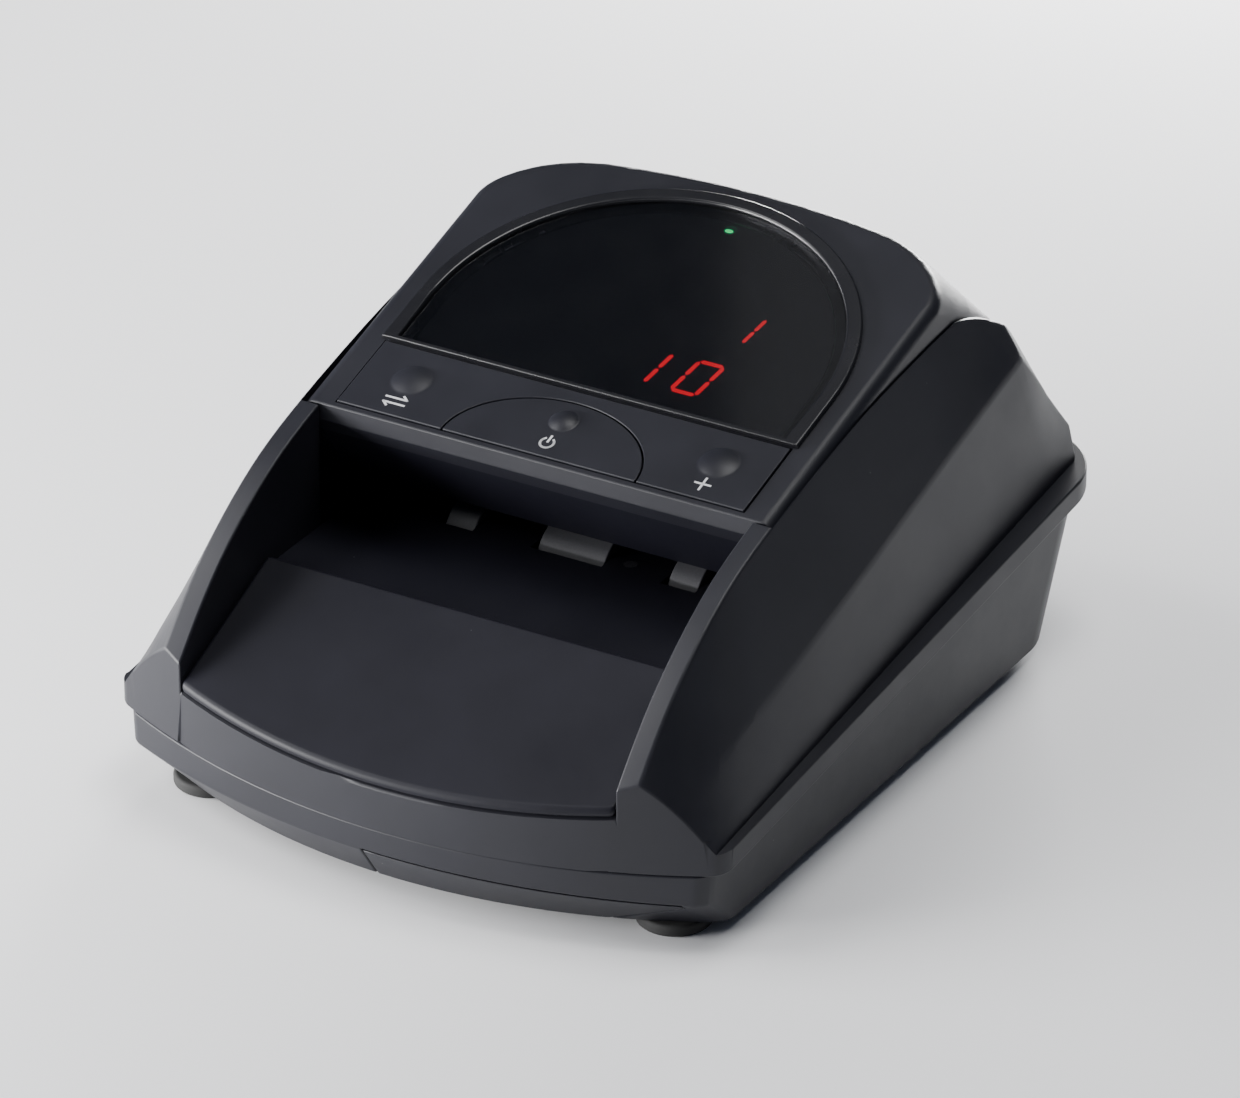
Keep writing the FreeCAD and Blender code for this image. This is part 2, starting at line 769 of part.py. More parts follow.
pocket_space = block(-pocket, pocket, pocket_y, FAR, pocket_low, FAR)
hinge_spot = V(0, val("hinge_y"), val("hinge_height"))
hinge_bores = both_sides(Part.makeCylinder(val("hinge_pin_radius + seat_gap"), pocket + wall,
                                           hinge_spot, V(1, 0, 0)))
hollow = inner.cut(walls)
shell = outer.cut(hollow).cut([channel, pocket_space]).fuse(ledges).removeSplitter()
shell = shell.cut(hinge_bores)
keep("upper_shell", solid("UpperShell", shell))

pins = []
for side, start in (("Left", "-(pocket_half + wall)"), ("Right", "hood_inner - wall")):
    pins.append(rod("HingePin" + side, "x", (start, "hinge_y", "hinge_height"),
                    "pocket_half + wall - hood_inner + wall", "hinge_pin_radius"))
keep("hinge_pins", group("HingePins", pins))

# Feed tray: sloping floor with a crest, then the level bed the notes run over.
bed_height = val("bed_height")
ramp_start = val("hinge_y + ramp_back")
bed_end = val("rear_reach - ledge_rear - wall - bed_end_gap")
ramp_end = ledge_z(bed_end)
thick = val("tray_thickness")
tray_line = [(-FAR, tray_z(-FAR)), (crest_y, tray_z(crest_y)),
             (crest_y + val("crest_run"), bed_height),
             (ramp_start, bed_height), (bed_end, ramp_end), (bed_end, ramp_end - thick),
             (ramp_start, bed_under), (crest_y - thick, bed_under),
             (crest_y - thick, tray_z(crest_y - thick) - thick), (-FAR, tray_z(-FAR) - thick)]
tray_width = tray_half - val("tray_gap")
tray_floor = yz_prism(tray_line, tray_width).common(skirt_plan)
guide_in = tray_half - val("guide_inset")
guide_plan = [V(tray_width, val("guide_front"), bed_under), V(guide_in, val("guide_neck"), bed_under),
              V(guide_in, val("guide_end"), bed_under), V(tray_width, val("guide_end"), bed_under)]
guide_wall = Part.Face(Part.makePolygon(guide_plan + guide_plan[:1]))
guide_walls = both_sides(guide_wall.extrude(V(0, 0, thick + val("guide_rise"))))
tray_moulding = solid("TrayMoulding", tray_floor.fuse(guide_walls).removeSplitter())
ROLLER_SPANS = [("-roller_side_out", "-roller_side_in"), ("-roller_centre_half", "roller_centre_half"),
                ("roller_side_in", "roller_side_out")]
tray_cuts = []
for end in ("front", "rear"):
    slot_start = end + "_axle - roller_radius - slot_gap"
    slot_end = end + "_axle + roller_radius + slot_gap"
    for i, (low, high) in enumerate(ROLLER_SPANS):
        tray_cuts.append(box("BedSlot%s%d" % (end, i), (low + " - slot_gap", slot_start, "bed_under - wall"),
                             (high + " + slot_gap", slot_end, "bed_height + wall")))
tray_cuts.append(box("SensorSeat", ("-sensor_half", "sensor_y", "bed_height - sensor_depth"),
                     ("sensor_half", "sensor_y + sensor_width", "bed_height + wall")))
tray_cuts.append(rod("LensSeat", "z", ("lens_x", "lens_y", "bed_height - sensor_depth"),
                     "sensor_depth + wall", "lens_radius + seat_gap"))
for side, x in (("Left", "-post_x"), ("Right", "post_x")):
    for end, y in (("Front", "front_post_y"), ("Rear", "rear_post_y")):
        tray_cuts.append(rod("TrayPilot" + side + end, "z", (x, y, "bed_under"), "screw_grip",
                             "screw_radius + seat_gap"))
keep("feed_tray", cut("FeedTray", tray_moulding, tray_cuts))
keep("lower_sensor_bar", box("LowerSensorBar",
                             ("-sensor_half + seat_gap", "sensor_y + seat_gap", "bed_height - sensor_depth"),
                             ("sensor_half - seat_gap", "sensor_y + sensor_width - seat_gap", "bed_height")))
keep("entry_sensor_lens", rod("EntrySensorLens", "z", ("lens_x", "lens_y", "bed_height - sensor_depth"),
                              "sensor_depth", "lens_radius"))

# Side plates that carry the shafts and the motor.
AXLES = [("front_axle", "axle_height"), ("rear_axle", "axle_height")]
plate_outline = rectangle("plate_front", "floor_top", "plate_rear", "plate_top")
MOTOR_HOLE = ("motor_y", "motor_height", "motor_hole")
PLATES = [("left_side_plate", "-plate_outer", [MOTOR_HOLE]), ("right_side_plate", "plate_inner", [])]
for label, start, extra_holes in PLATES:
    circles = [(y, z, "bush_seat") for y, z in AXLES] + extra_holes
    plate = plate_body(label.title().replace("_", ""), "YZ_Plane", plate_outline, "plate_thickness", circles)
    plate.setExpression("Placement.Base.x", expand(start))
    keep(label, plate)

bushes = []
for side, start in (("Left", "-plate_outer"), ("Right", "plate_inner - bush_flange")):
    for i, (y, z) in enumerate(AXLES):
        bushes.append(tube("Bush%s%d" % (side, i), "x", (start, y, z), "plate_thickness + bush_flange",
                           "bush_radius", "bush_bore"))
keep("shaft_bushes", group("ShaftBushes", bushes))

# Drive shafts with their rollers and belt pulleys.
for end in ("front", "rear"):
    axle = end + "_axle"
    title = end.title()
    keep(end + "_drive_shaft", rod(title + "DriveShaft", "x", ("-pulley_end", axle, "axle_height"),
                                   "pulley_end + plate_outer + wall", "shaft_radius"))
    rollers = []
    for i, (low, high) in enumerate(ROLLER_SPANS):
        rollers.append(tube("%sRoller%d" % (title, i), "x", (low, axle, "axle_height"),
                            "(%s) - (%s)" % (high, low), "roller_radius", "shaft_radius + seat_gap"))
    keep(end + "_drive_rollers", group(title + "DriveRollers", rollers))
    keep(end + "_pulley", tube(title + "Pulley", "x", ("-pulley_end", axle, "axle_height"), "pulley_width",
                               "shaft_pulley_radius", "shaft_radius + seat_gap"))

# Motor on the left side plate, with its shaft and pulley.
motor_can = rod("MotorCan", "x", ("-plate_inner", "motor_y", "motor_height"), "motor_length", "motor_radius")
motor_bore = rod("MotorBore", "x", ("-plate_inner", "motor_y", "motor_height"), "motor_bore",
                 "motor_shaft_radius + run_gap")
keep("drive_motor", cut("DriveMotor", motor_can, [motor_bore]))
keep("motor_shaft", rod("MotorShaft", "x", ("-pulley_end", "motor_y", "motor_height"),
                        "pulley_end - plate_inner + motor_bore - run_gap", "motor_shaft_radius"))
keep("motor_pulley", tube("MotorPulley", "x", ("-pulley_end", "motor_y", "motor_height"), "pulley_width",
                          "motor_pulley_radius", "motor_shaft_radius + seat_gap"))


def belt_face(extra):
    """The loop round the three pulleys, as far out as extra from their rims."""
    ring = [
        (V(0, val("front_axle"), val("axle_height")), val("shaft_pulley_radius") + extra),
        (V(0, val("motor_y"), val("motor_height")), val("motor_pulley_radius") + extra),
        (V(0, val("rear_axle"), val("axle_height")), val("shaft_pulley_radius") + extra),
    ]
    touches = []
    for (start, start_radius), (end, end_radius) in zip(ring, ring[1:] + ring[:1]):
        run = end - start
        angle = math.atan2(run.z, run.y) - math.acos((start_radius - end_radius) / run.Length)
        out = V(0, math.cos(angle), math.sin(angle))
        touches.append((start + out * start_radius, end + out * end_radius))
    edges = []
    for i, (centre, radius) in enumerate(ring):
        arrive = touches[i - 1][1]
        leave = touches[i][0]
        middle = ((arrive - centre).normalize() + (leave - centre).normalize()).normalize()
        edges.append(Part.Arc(arrive, centre + middle * radius, leave).toShape())
        edges.append(Part.LineSegment(*touches[i]).toShape())
    return Part.Face(Part.Wire(edges))


belt_gap = val("belt_gap")
belt_run = V(val("pulley_width"), 0, 0)
belt_outside = belt_face(belt_gap + val("belt_thickness")).extrude(belt_run)
belt_inside = belt_face(belt_gap).extrude(belt_run)
belt = keep("drive_belt", solid("DriveBelt", belt_outside.cut(belt_inside)))
belt.Placement = FreeCAD.Placement(V(-val("pulley_end"), 0, 0), FreeCAD.Rotation())

# Main board and what is soldered to it.
corner_x = "mainboard_x + mainboard_length"
corner_y = "mainboard_y + mainboard_width"
board_holes = [(x, y, "board_screw_radius + seat_gap") for x, y in BOARD_SPOTS]
main_board = plate_body("MainBoard", "XY_Plane", rectangle("mainboard_x", "mainboard_y", corner_x, corner_y),
                        "board_thickness", board_holes)
main_board.setExpression("Placement.Base.z", expand("mainboard_under"))
keep("main_board", main_board)


def board_x(share):
    return "mainboard_x + mainboard_length * %s" % share


def board_y(share):
    return "mainboard_y + mainboard_width * %s" % share


# Each chip: its near left corner as shares of the board, and its size.
CHIPS = [(0.5, 0.3, 12), (0.35, 0.6, 9), (0.72, 0.62, 7)]
CAPACITOR_SHARES = (0.3, 0.5, 0.7)
CAPACITOR_ROW = 0.85
SOCKET_SHARES = (0.2, 0.55)
SOCKET_ROW = 0.12
chips = []
for i, (share_x, share_y, size) in enumerate(CHIPS):
    end_x = "%s + %s" % (board_x(share_x), size)
    end_y = "%s + %s" % (board_y(share_y), size)
    chips.append(box("Chip%d" % i, (board_x(share_x), board_y(share_y), "mainboard_top"),
                     (end_x, end_y, "mainboard_top + chip_height")))
keep("processor_chips", group("ProcessorChips", chips))
capacitors = []
for i, share in enumerate(CAPACITOR_SHARES):
    foot = (board_x(share), board_y(CAPACITOR_ROW), "mainboard_top")
    capacitors.append(rod("Capacitor%d" % i, "z", foot, "capacitor_height", "capacitor_radius"))
keep("filter_capacitors", group("FilterCapacitors", capacitors))
sockets = []
for i, share in enumerate(SOCKET_SHARES):
    end_x = board_x(share) + " + mainboard_length * socket_share"
    end_y = board_y(SOCKET_ROW) + " + socket_size"
    sockets.append(box("Socket%d" % i, (board_x(share), board_y(SOCKET_ROW), "mainboard_top"),
                       (end_x, end_y, "mainboard_top + socket_size")))
keep("cable_sockets", group("CableSockets", sockets))
keep("battery_pack", box("BatteryPack", ("battery_x", "battery_y", "floor_top"), (
    "battery_x + battery_length", "battery_y + battery_width", "floor_top + battery_height")))

# Hood: a sloping cover between the shoulders, open below.
hood_half = val("hood_half")
guide_under = val("guide_under")
hood_start = val("hood_front")
lip_z = val("hood_front_height - hood_lip")
nose_y = -val("nose_reach")


def nose_z(y):
    """The slanting throat face between the lip and the note slot."""
    return lip_z + (guide_under - lip_z) * (y - hood_start) / (nose_y - hood_start)


def hood_rear_limit(inset):
    """Everything in front of the hood's rear: square up to its bend, then rounder to its top."""
    def outline(z, bulge, corner):
        wire = plan_wire(hood_half - inset, rear_y(z) - inset, FAR * 0.5, z, val(corner) - inset,
                         front_corner, val(bulge))
        wire.rotate(V(), V(0, 0, 1), 180)
        return wire

    foot = outline(bed_height, "hood_foot_radius", "hood_foot_corner")
    bend = outline(val("hood_bend"), "hood_foot_radius", "hood_foot_corner")
    top = outline(HOOD_REAR_Z + wall, "hood_rear_radius", "hood_corner")
    return Part.makeLoft([foot, bend], True, True).fuse(Part.makeLoft([bend, top], True, True))


exit_y = val("hinge_y")
exit_high = guide_under + val("exit_slope") * (FAR - exit_y)
hood_line = [(hood_start, lip_z), (hood_start, hood_z(hood_start)), (FAR, hood_z(FAR)), (FAR, exit_high),
             (exit_y, guide_under), (nose_y, guide_under)]
hood_block = yz_prism(hood_line, hood_half).common(hood_rear_limit(0))
TOUCH = 1e-4


def rims_roof(edge):
    """Whether an edge runs round the sides and rear of the roof."""
    on_roof = all(abs(vertex.Z - hood_z(vertex.Y)) < TOUCH for vertex in edge.Vertexes)
    at_front = all(abs(vertex.Y - hood_start) < TOUCH for vertex in edge.Vertexes)
    return on_roof and not at_front


hood_block = hood_block.makeFillet(val("hood_edge"), [edge for edge in hood_block.Edges if rims_roof(edge)])
roof_drop = wall / HOOD_COS
room_start = hood_start + wall
room_line = [(room_start, 0), (room_start, hood_z(room_start) - roof_drop), (FAR, hood_z(FAR) - roof_drop),
             (FAR, 0)]
hood_inner = val("hood_inner")
hood_room = yz_prism(room_line, hood_inner).common(hood_rear_limit(wall))
arm_start = val("hinge_y - hinge_arm_reach")
arm_top = val("hinge_height + hinge_eye_radius")
arm = block(hood_inner, hood_half, arm_start, exit_y, guide_under, arm_top)
eye = Part.makeCylinder(val("hinge_eye_radius"), wall, hinge_spot + V(hood_inner, 0, 0), V(1, 0, 0))
eye = eye.common(block(0, hood_half, -FAR, FAR, guide_under, FAR))
hood_cover = hood_block.cut(hood_room).fuse(both_sides(arm.fuse(eye)))

HOOD_SEAT = FreeCAD.Placement(V(0, hood_start, val("hood_front_height")),
                              FreeCAD.Rotation(V(1, 0, 0), val("hood_angle")))


def on_hood(obj):
    """Turn a piece drawn in the plane of the hood into its place on the slope."""
    obj.Placement = HOOD_SEAT.multiply(obj.Placement)
    return obj


def arch_face(half, start, level):
    """A window outline: straight sides and bottom with a half round top."""
    centre = val("window_centre")
    points = [V(-half, centre, level), V(-half, start, level), V(half, start, level), V(half, centre, level)]
    edges = [Part.LineSegment(a, b).toShape() for a, b in zip(points, points[1:])]
    edges.append(Part.Arc(points[-1], V(0, centre + half, level), points[0]).toShape())
    return Part.Face(Part.Wire(edges))


def arch(half, low, high):
    inset = val("rim_half") - half
    return arch_face(half, val("window_start") + inset * val("rim_foot"), low).extrude(V(0, 0, high - low))


opening_half = val("opening_half")
key_gap = val("key_gap")
key_space = block(-val("key_half") - key_gap, val("key_half") + key_gap, val("key_start") - key_gap,
                  val("key_end") + key_gap, -wall * 2, wall * 2)
hood_openings = [arch(opening_half, -wall * 2, wall * 2), key_space]
for tool in hood_openings:
    tool.Placement = HOOD_SEAT
pivot = block(-wall, wall, val("window_start") - wall, val("opening_start"), -wall * 2, -wall)
pivot_lip = block(-wall / 2, wall / 2, val("key_end - pivot_reach"), val("opening_start"),
                  -wall * 2, -val("key_under + run_gap"))
pivot = pivot.fuse(pivot_lip)
pivot.Placement = HOOD_SEAT
guide_top = val("guide_top")
roof_middle = roof_drop / 2
boss_tops = yz_prism([(-FAR, guide_top), (FAR, guide_top), (FAR, hood_z(FAR) - roof_middle),
                      (-FAR, hood_z(-FAR) - roof_middle)], FAR)
BOSS_SPOTS = [(x, y) for x in ("-boss_x", "boss_x") for y in ("front_boss_y", "rear_boss_y")]
bosses = []
boss_bores = []
for x, y in BOSS_SPOTS:
    stem = Part.makeCylinder(val("boss_radius"), FAR, V(val(x), val(y), 0))
    bosses.append(stem.common(boss_tops))
    boss_bores.append(Part.makeCylinder(val("board_screw_radius + seat_gap"), val("board_screw_depth"),
                                        V(val(x), val(y), guide_top)))
hood_hinges = both_sides(Part.makeCylinder(val("hinge_pin_radius + run_gap"), FAR, hinge_spot, V(1, 0, 0)))
hood_shape = hood_cover.cut(hood_openings).fuse(bosses + [pivot]).removeSplitter()
keep("hood_shell", solid("HoodShell", hood_shape.cut(boss_bores + hood_hinges)))

# Upper guide: throat face and the roof of the note path, screwed up into the hood.
guide_half = val("hood_inner - hood_gap")
slant = math.hypot(nose_y - hood_start, guide_under - lip_z)
back = thick * slant / abs(guide_under - lip_z)
guide_rear = val("hinge_y - hinge_pin_radius - wall")
guide_line = [(room_start, nose_z(room_start)), (nose_y, guide_under), (guide_rear, guide_under),
              (guide_rear, guide_top), (nose_y + back, guide_top), (room_start, nose_z(room_start - back))]
guide_sheet = solid("GuideSheet", yz_prism(guide_line, guide_half))
ears = []
guide_cuts = []
for end in ("front", "rear"):
    axle = end + "_axle"
    for side, low in (("Left", "-(ear_inner + ear_thickness)"), ("Right", "ear_inner")):
        ears.append(box("Ear%s%s" % (end, side), (low, axle + " - ear_half", "guide_under"),
                        (low + " + ear_thickness", axle + " + ear_half", "pinch_height + ear_rise")))
    guide_cuts.append(rod("EarBore" + end, "x", ("-pinch_axle_half", axle, "pinch_height"),
                          "pinch_axle_half*2", "pinch_axle_radius + run_gap"))
    slot_start = axle + " - pinch_radius - slot_gap"
    slot_end = axle + " + pinch_radius + slot_gap"
    for i, (low, high) in enumerate(ROLLER_SPANS):
        guide_cuts.append(box("GuideSlot%s%d" % (end, i),
                              (low + " - slot_gap", slot_start, "guide_under - wall"),
                              (high + " + slot_gap", slot_end, "guide_top + wall")))
guide_cuts.append(box("UpperSensorSeat", ("-sensor_half", "sensor_y", "guide_under - wall"),
                      ("sensor_half", "sensor_y + sensor_width", "guide_under + sensor_depth")))
guide_screws = []
for i, (x, y) in enumerate(BOSS_SPOTS):
    guide_cuts.append(rod("GuideHole%d" % i, "z", (x, y, "guide_under - wall"), "tray_thickness + wall*2",
                          "board_screw_radius + seat_gap"))
    guide_cuts.append(rod("GuideSink%d" % i, "z", (x, y, "guide_under - wall"), "wall + tray_thickness/2",
                          "guide_screw_head + run_gap"))
    shank = rod("GuideShank%d" % i, "z", (x, y, "guide_under"), "tray_thickness + board_screw_depth",
                "board_screw_radius")
    head = rod("GuideHead%d" % i, "z", (x, y, "guide_under"), "tray_thickness/2", "guide_screw_head")
    guide_screws.append(fuse("GuideScrew%d" % i, [shank, head]))
guide_body = fuse("GuideWithEars", [guide_sheet] + ears)
keep("upper_guide", cut("UpperGuide", guide_body, guide_cuts))
keep("guide_screws", group("GuideScrews", guide_screws))
keep("upper_sensor_bar", box("UpperSensorBar",
                             ("-sensor_half + seat_gap", "sensor_y + seat_gap", "guide_under"),
                             ("sensor_half - seat_gap", "sensor_y + sensor_width - seat_gap",
                              "guide_under + sensor_depth")))
for end in ("front", "rear"):
    axle = end + "_axle"
    title = end.title()
    keep(end + "_pinch_axle", rod(title + "PinchAxle", "x", ("-pinch_axle_half", axle, "pinch_height"),
                                  "pinch_axle_half*2", "pinch_axle_radius"))
    rollers = []
    for i, (low, high) in enumerate(ROLLER_SPANS):
        rollers.append(tube("%sPinch%d" % (title, i), "x", (low, axle, "pinch_height"),
                            "(%s) - (%s)" % (high, low), "pinch_radius", "pinch_axle_radius + seat_gap"))
    keep(end + "_pinch_rollers", group(title + "PinchRollers", rollers))

# Window rim with its ledge and legs, the window, and the display behind it.
glass_half = val("glass_half")
glass_gap = val("glass_gap")
glass_low = -val("glass_thickness")
rim_low = glass_low - val("rim_seat")
spigot_half = opening_half - val("seat_gap")
rim_proud = val("rim_proud")
rim = arch(val("rim_half"), 0, rim_proud).fuse(arch(spigot_half, rim_low, rim_proud))
rim = rim.cut(arch(glass_half + glass_gap, glass_low, rim_proud * 2))
rim = rim.cut(arch(glass_half - val("rim_ledge"), rim_low * 2, 0))
leg_line = spigot_half - val("rim_wall")
leg_slant = leg_line * math.sqrt(0.5)
board_top = -val("board_drop")
leg_spots = [(leg_line, val("window_centre - rim_leg_back")), (leg_slant, val("window_centre") + leg_slant)]
legs = []
for x, u in leg_spots:
    for side in (-1, 1):
        legs.append(Part.makeCylinder(val("rim_leg_radius"), rim_low - board_top, V(side * x, u, board_top)))
keep("window_rim", on_hood(solid("WindowRim", rim.fuse(legs).removeSplitter())))
keep("display_window", on_hood(solid("DisplayWindow", arch(glass_half, glass_low, 0))))
board_half = spigot_half - val("board_gap")
board = arch_face(board_half, val("board_start"), -val("board_drop + board_thickness"))
keep("display_board", on_hood(solid("DisplayBoard", board.extrude(V(0, 0, val("board_thickness"))))))
# Each digit block: its near left and far right corners in the plane of the hood.
DIGIT_BLOCKS = [(4.0, 24.5, 23.0, 37.5), (14.0, 40.5, 25.0, 51.5)]
digit_top = -val("digit_drop")
digits = [block(x0, x1, u0, u1, board_top, digit_top) for x0, u0, x1, u1 in DIGIT_BLOCKS]
keep("digit_modules", on_hood(solid("DigitModules", Part.makeCompound(digits))))
led = Part.makeCylinder(val("led_radius"), digit_top - board_top, V(val("led_x"), val("led_u"), board_top))
keep("status_led", on_hood(solid("StatusLed", led)))

bump_u = val("bump_u")
half_switch = val("switch_size") / 2
switches = []
for x in (-val("side_bump_x"), 0, val("side_bump_x")):
    case = block(x - half_switch, x + half_switch, bump_u - half_switch, bump_u + half_switch,
                 board_top, board_top + val("switch_height"))
    stem = Part.makeCylinder(val("switch_stem"), -val("switch_top") - board_top, V(x, bump_u, board_top))
    switches.append(case.fuse(stem))
keep("tact_switches", on_hood(solid("TactSwitches", Part.makeCompound(switches))))


def dome(x, radius, base):
    """A low round bump for the fingertip."""
    rise = val("bump_rise")
    ball = (radius ** 2 + rise ** 2) / (2 * rise)
    centre = V(x, bump_u, base + rise - ball)
    above = Part.makeCylinder(radius * 2, rise * 2, V(x, bump_u, base))
    return Part.makeSphere(ball, centre).common(above)


def half_oval(half, depth, low, high):
    """A D outline: straight along the front edge, half an oval behind it."""
    start = val("key_start")
    oval = Part.Ellipse(V(0, start, low), half, depth).toShape()
    face = Part.Face(Part.Wire([oval])).extrude(V(0, 0, high - low))
    return face.common(block(-FAR, FAR, start, FAR, -FAR, FAR))


key_low = -val("key_under")
key_high = val("key_proud")
rocker = block(-val("key_half"), val("key_half"), val("key_start"), val("key_end"), key_low, key_high)
rocker = rocker.cut(half_oval(val("power_half") + key_gap, val("power_depth") + key_gap, -FAR, FAR))
bumps = [dome(side * val("side_bump_x"), val("side_bump_radius"), key_high) for side in (-1, 1)]
keep("key_rocker", on_hood(solid("KeyRocker", rocker.fuse(bumps))))
power = half_oval(val("power_half"), val("power_depth"), key_low, key_high)
keep("power_key", on_hood(solid("PowerKey", power.fuse(dome(0, val("power_bump_radius"), key_high)))))

DOC.recompute()
for obj in DOC.Objects:
    if "Invalid" in obj.State or "Error" in obj.State:
        raise RuntimeError("failed object: " + obj.Name)
for label, obj in NODES.items():
    if obj.Shape.isNull() or not obj.Shape.isValid() or not obj.Shape.Solids:
        raise RuntimeError("bad shape: " + label)

# The origin of the finished part is the middle of its footprint.
CENTRE = V(0, val("rear_reach - front_reach") / 2, 0)
os.makedirs("parts", exist_ok=True)
for label, obj in NODES.items():
    shape = obj.Shape.copy()
    shape.translate(-CENTRE)
    shape.exportStep("parts/%s.step" % label)
    print(label, len(shape.Solids), round(shape.Volume, 1))
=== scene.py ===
import json
import math

import bmesh
import bpy
from mathutils import Matrix, Vector

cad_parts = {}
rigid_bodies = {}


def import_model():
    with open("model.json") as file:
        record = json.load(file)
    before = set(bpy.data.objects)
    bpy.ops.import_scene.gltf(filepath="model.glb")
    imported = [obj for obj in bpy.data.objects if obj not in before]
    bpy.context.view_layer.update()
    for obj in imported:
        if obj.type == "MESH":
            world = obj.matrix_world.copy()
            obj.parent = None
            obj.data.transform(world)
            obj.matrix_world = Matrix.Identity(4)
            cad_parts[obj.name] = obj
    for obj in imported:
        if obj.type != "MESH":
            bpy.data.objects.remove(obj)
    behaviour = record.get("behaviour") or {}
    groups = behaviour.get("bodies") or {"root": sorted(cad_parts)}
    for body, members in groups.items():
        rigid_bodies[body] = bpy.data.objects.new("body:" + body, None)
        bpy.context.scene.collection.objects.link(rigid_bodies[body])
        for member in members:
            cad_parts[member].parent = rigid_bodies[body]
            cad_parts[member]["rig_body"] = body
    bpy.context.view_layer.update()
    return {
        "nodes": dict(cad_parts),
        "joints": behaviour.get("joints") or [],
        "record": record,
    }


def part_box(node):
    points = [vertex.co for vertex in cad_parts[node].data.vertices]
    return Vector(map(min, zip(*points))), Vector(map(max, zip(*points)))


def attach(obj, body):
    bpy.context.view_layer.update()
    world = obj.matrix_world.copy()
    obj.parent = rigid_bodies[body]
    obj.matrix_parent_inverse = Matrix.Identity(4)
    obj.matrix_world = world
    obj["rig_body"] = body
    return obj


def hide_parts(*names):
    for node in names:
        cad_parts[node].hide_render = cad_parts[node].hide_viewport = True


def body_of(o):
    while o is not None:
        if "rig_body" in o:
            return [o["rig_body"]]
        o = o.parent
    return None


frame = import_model()
NODES = frame["nodes"]
SLOTS = {part["node"]: part["material_slot"] for part in frame["record"]["subparts"]}
MM = 0.001

# Where the photograph was taken from, and how long a lens it needs.
CAMERA_AZIMUTH = math.radians(30.2218)
CAMERA_ELEVATION = math.radians(28.2581)
CAMERA_PLACE = Vector((0.683994, -1.168826, 0.761515))
CAMERA_REACH = 20.0
PHOTO_WIDTH = 1240.0
FOCAL_PIXELS = 8418.03
SENSOR_WIDTH = 36.0

# The sloping plane of the hood: the centre key is pressed square to it, and it starts at the hood's
# front edge. In it x runs across, y up the slope and z out of the hood.
PRESS = next(joint for joint in frame["joints"] if joint["name"] == "power_press")
HOOD_NORMAL = -Vector(PRESS["axis"])
HOOD_UP = HOOD_NORMAL.cross(Vector((1, 0, 0)))
HOOD_FRONT_HEIGHT = 63.2 * MM
HOOD_FRONT = Vector((0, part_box("hood_shell")[0].y, HOOD_FRONT_HEIGHT))
HOOD_SLOPE = Matrix(((1, 0, 0), HOOD_UP, HOOD_NORMAL)).transposed().to_4x4()
HOOD_FRAME = Matrix.Translation(HOOD_FRONT) @ HOOD_SLOPE
HOOD_FLAT = HOOD_FRAME.inverted()


# Materials
def new_material(name):
    mat = bpy.data.materials.new(name)
    mat.use_nodes = True
    return mat, mat.node_tree.nodes, mat.node_tree.links


def add(nodes, kind, **values):
    """A shader node with its inputs and settings given by name."""
    node = nodes.new(kind)
    for key, value in values.items():
        if key in node.inputs.keys():
            node.inputs[key].default_value = value
        else:
            setattr(node, key, value)
    return node


def shader_of(nodes):
    return nodes["Principled BSDF"]


def ramp(nodes, links, source, stops):
    """A colour ramp over a noise, with a grey level or a colour at each stop."""
    node = nodes.new("ShaderNodeValToRGB")
    elements = node.color_ramp.elements
    while len(elements) < len(stops):
        elements.new(0.5)
    for element, (place, level) in zip(elements, stops):
        element.position = place
        element.color = (*level, 1) if isinstance(level, tuple) else (level, level, level, 1)
    links.new(source, node.inputs["Fac"])
    return node


def shades(colour, dark, light):
    """The two ends of a colour's unevenness, as stops of a ramp."""
    return [(0.3, tuple(c * dark for c in colour)), (0.7, tuple(min(1, c * light) for c in colour))]


def raise_grain(nodes, links, noise, strength, depth):
    """Let a noise lift the surface by a depth in mm."""
    bump = add(nodes, "ShaderNodeBump", Strength=strength, Distance=depth * MM)
    links.new(noise.outputs["Fac"], bump.inputs["Height"])
    links.new(bump.outputs["Normal"], shader_of(nodes).inputs["Normal"])


# Handling marks and dust on moulded plastic
PATCH_SIZE = 22 * MM
DUST_SPACING = 8 * MM
DUST_RADIUS = (0.014, 0.024)
DUSTY_PATCH = (0.53, 0.57)
DUST_COLOUR = (0.30, 0.30, 0.31, 1)


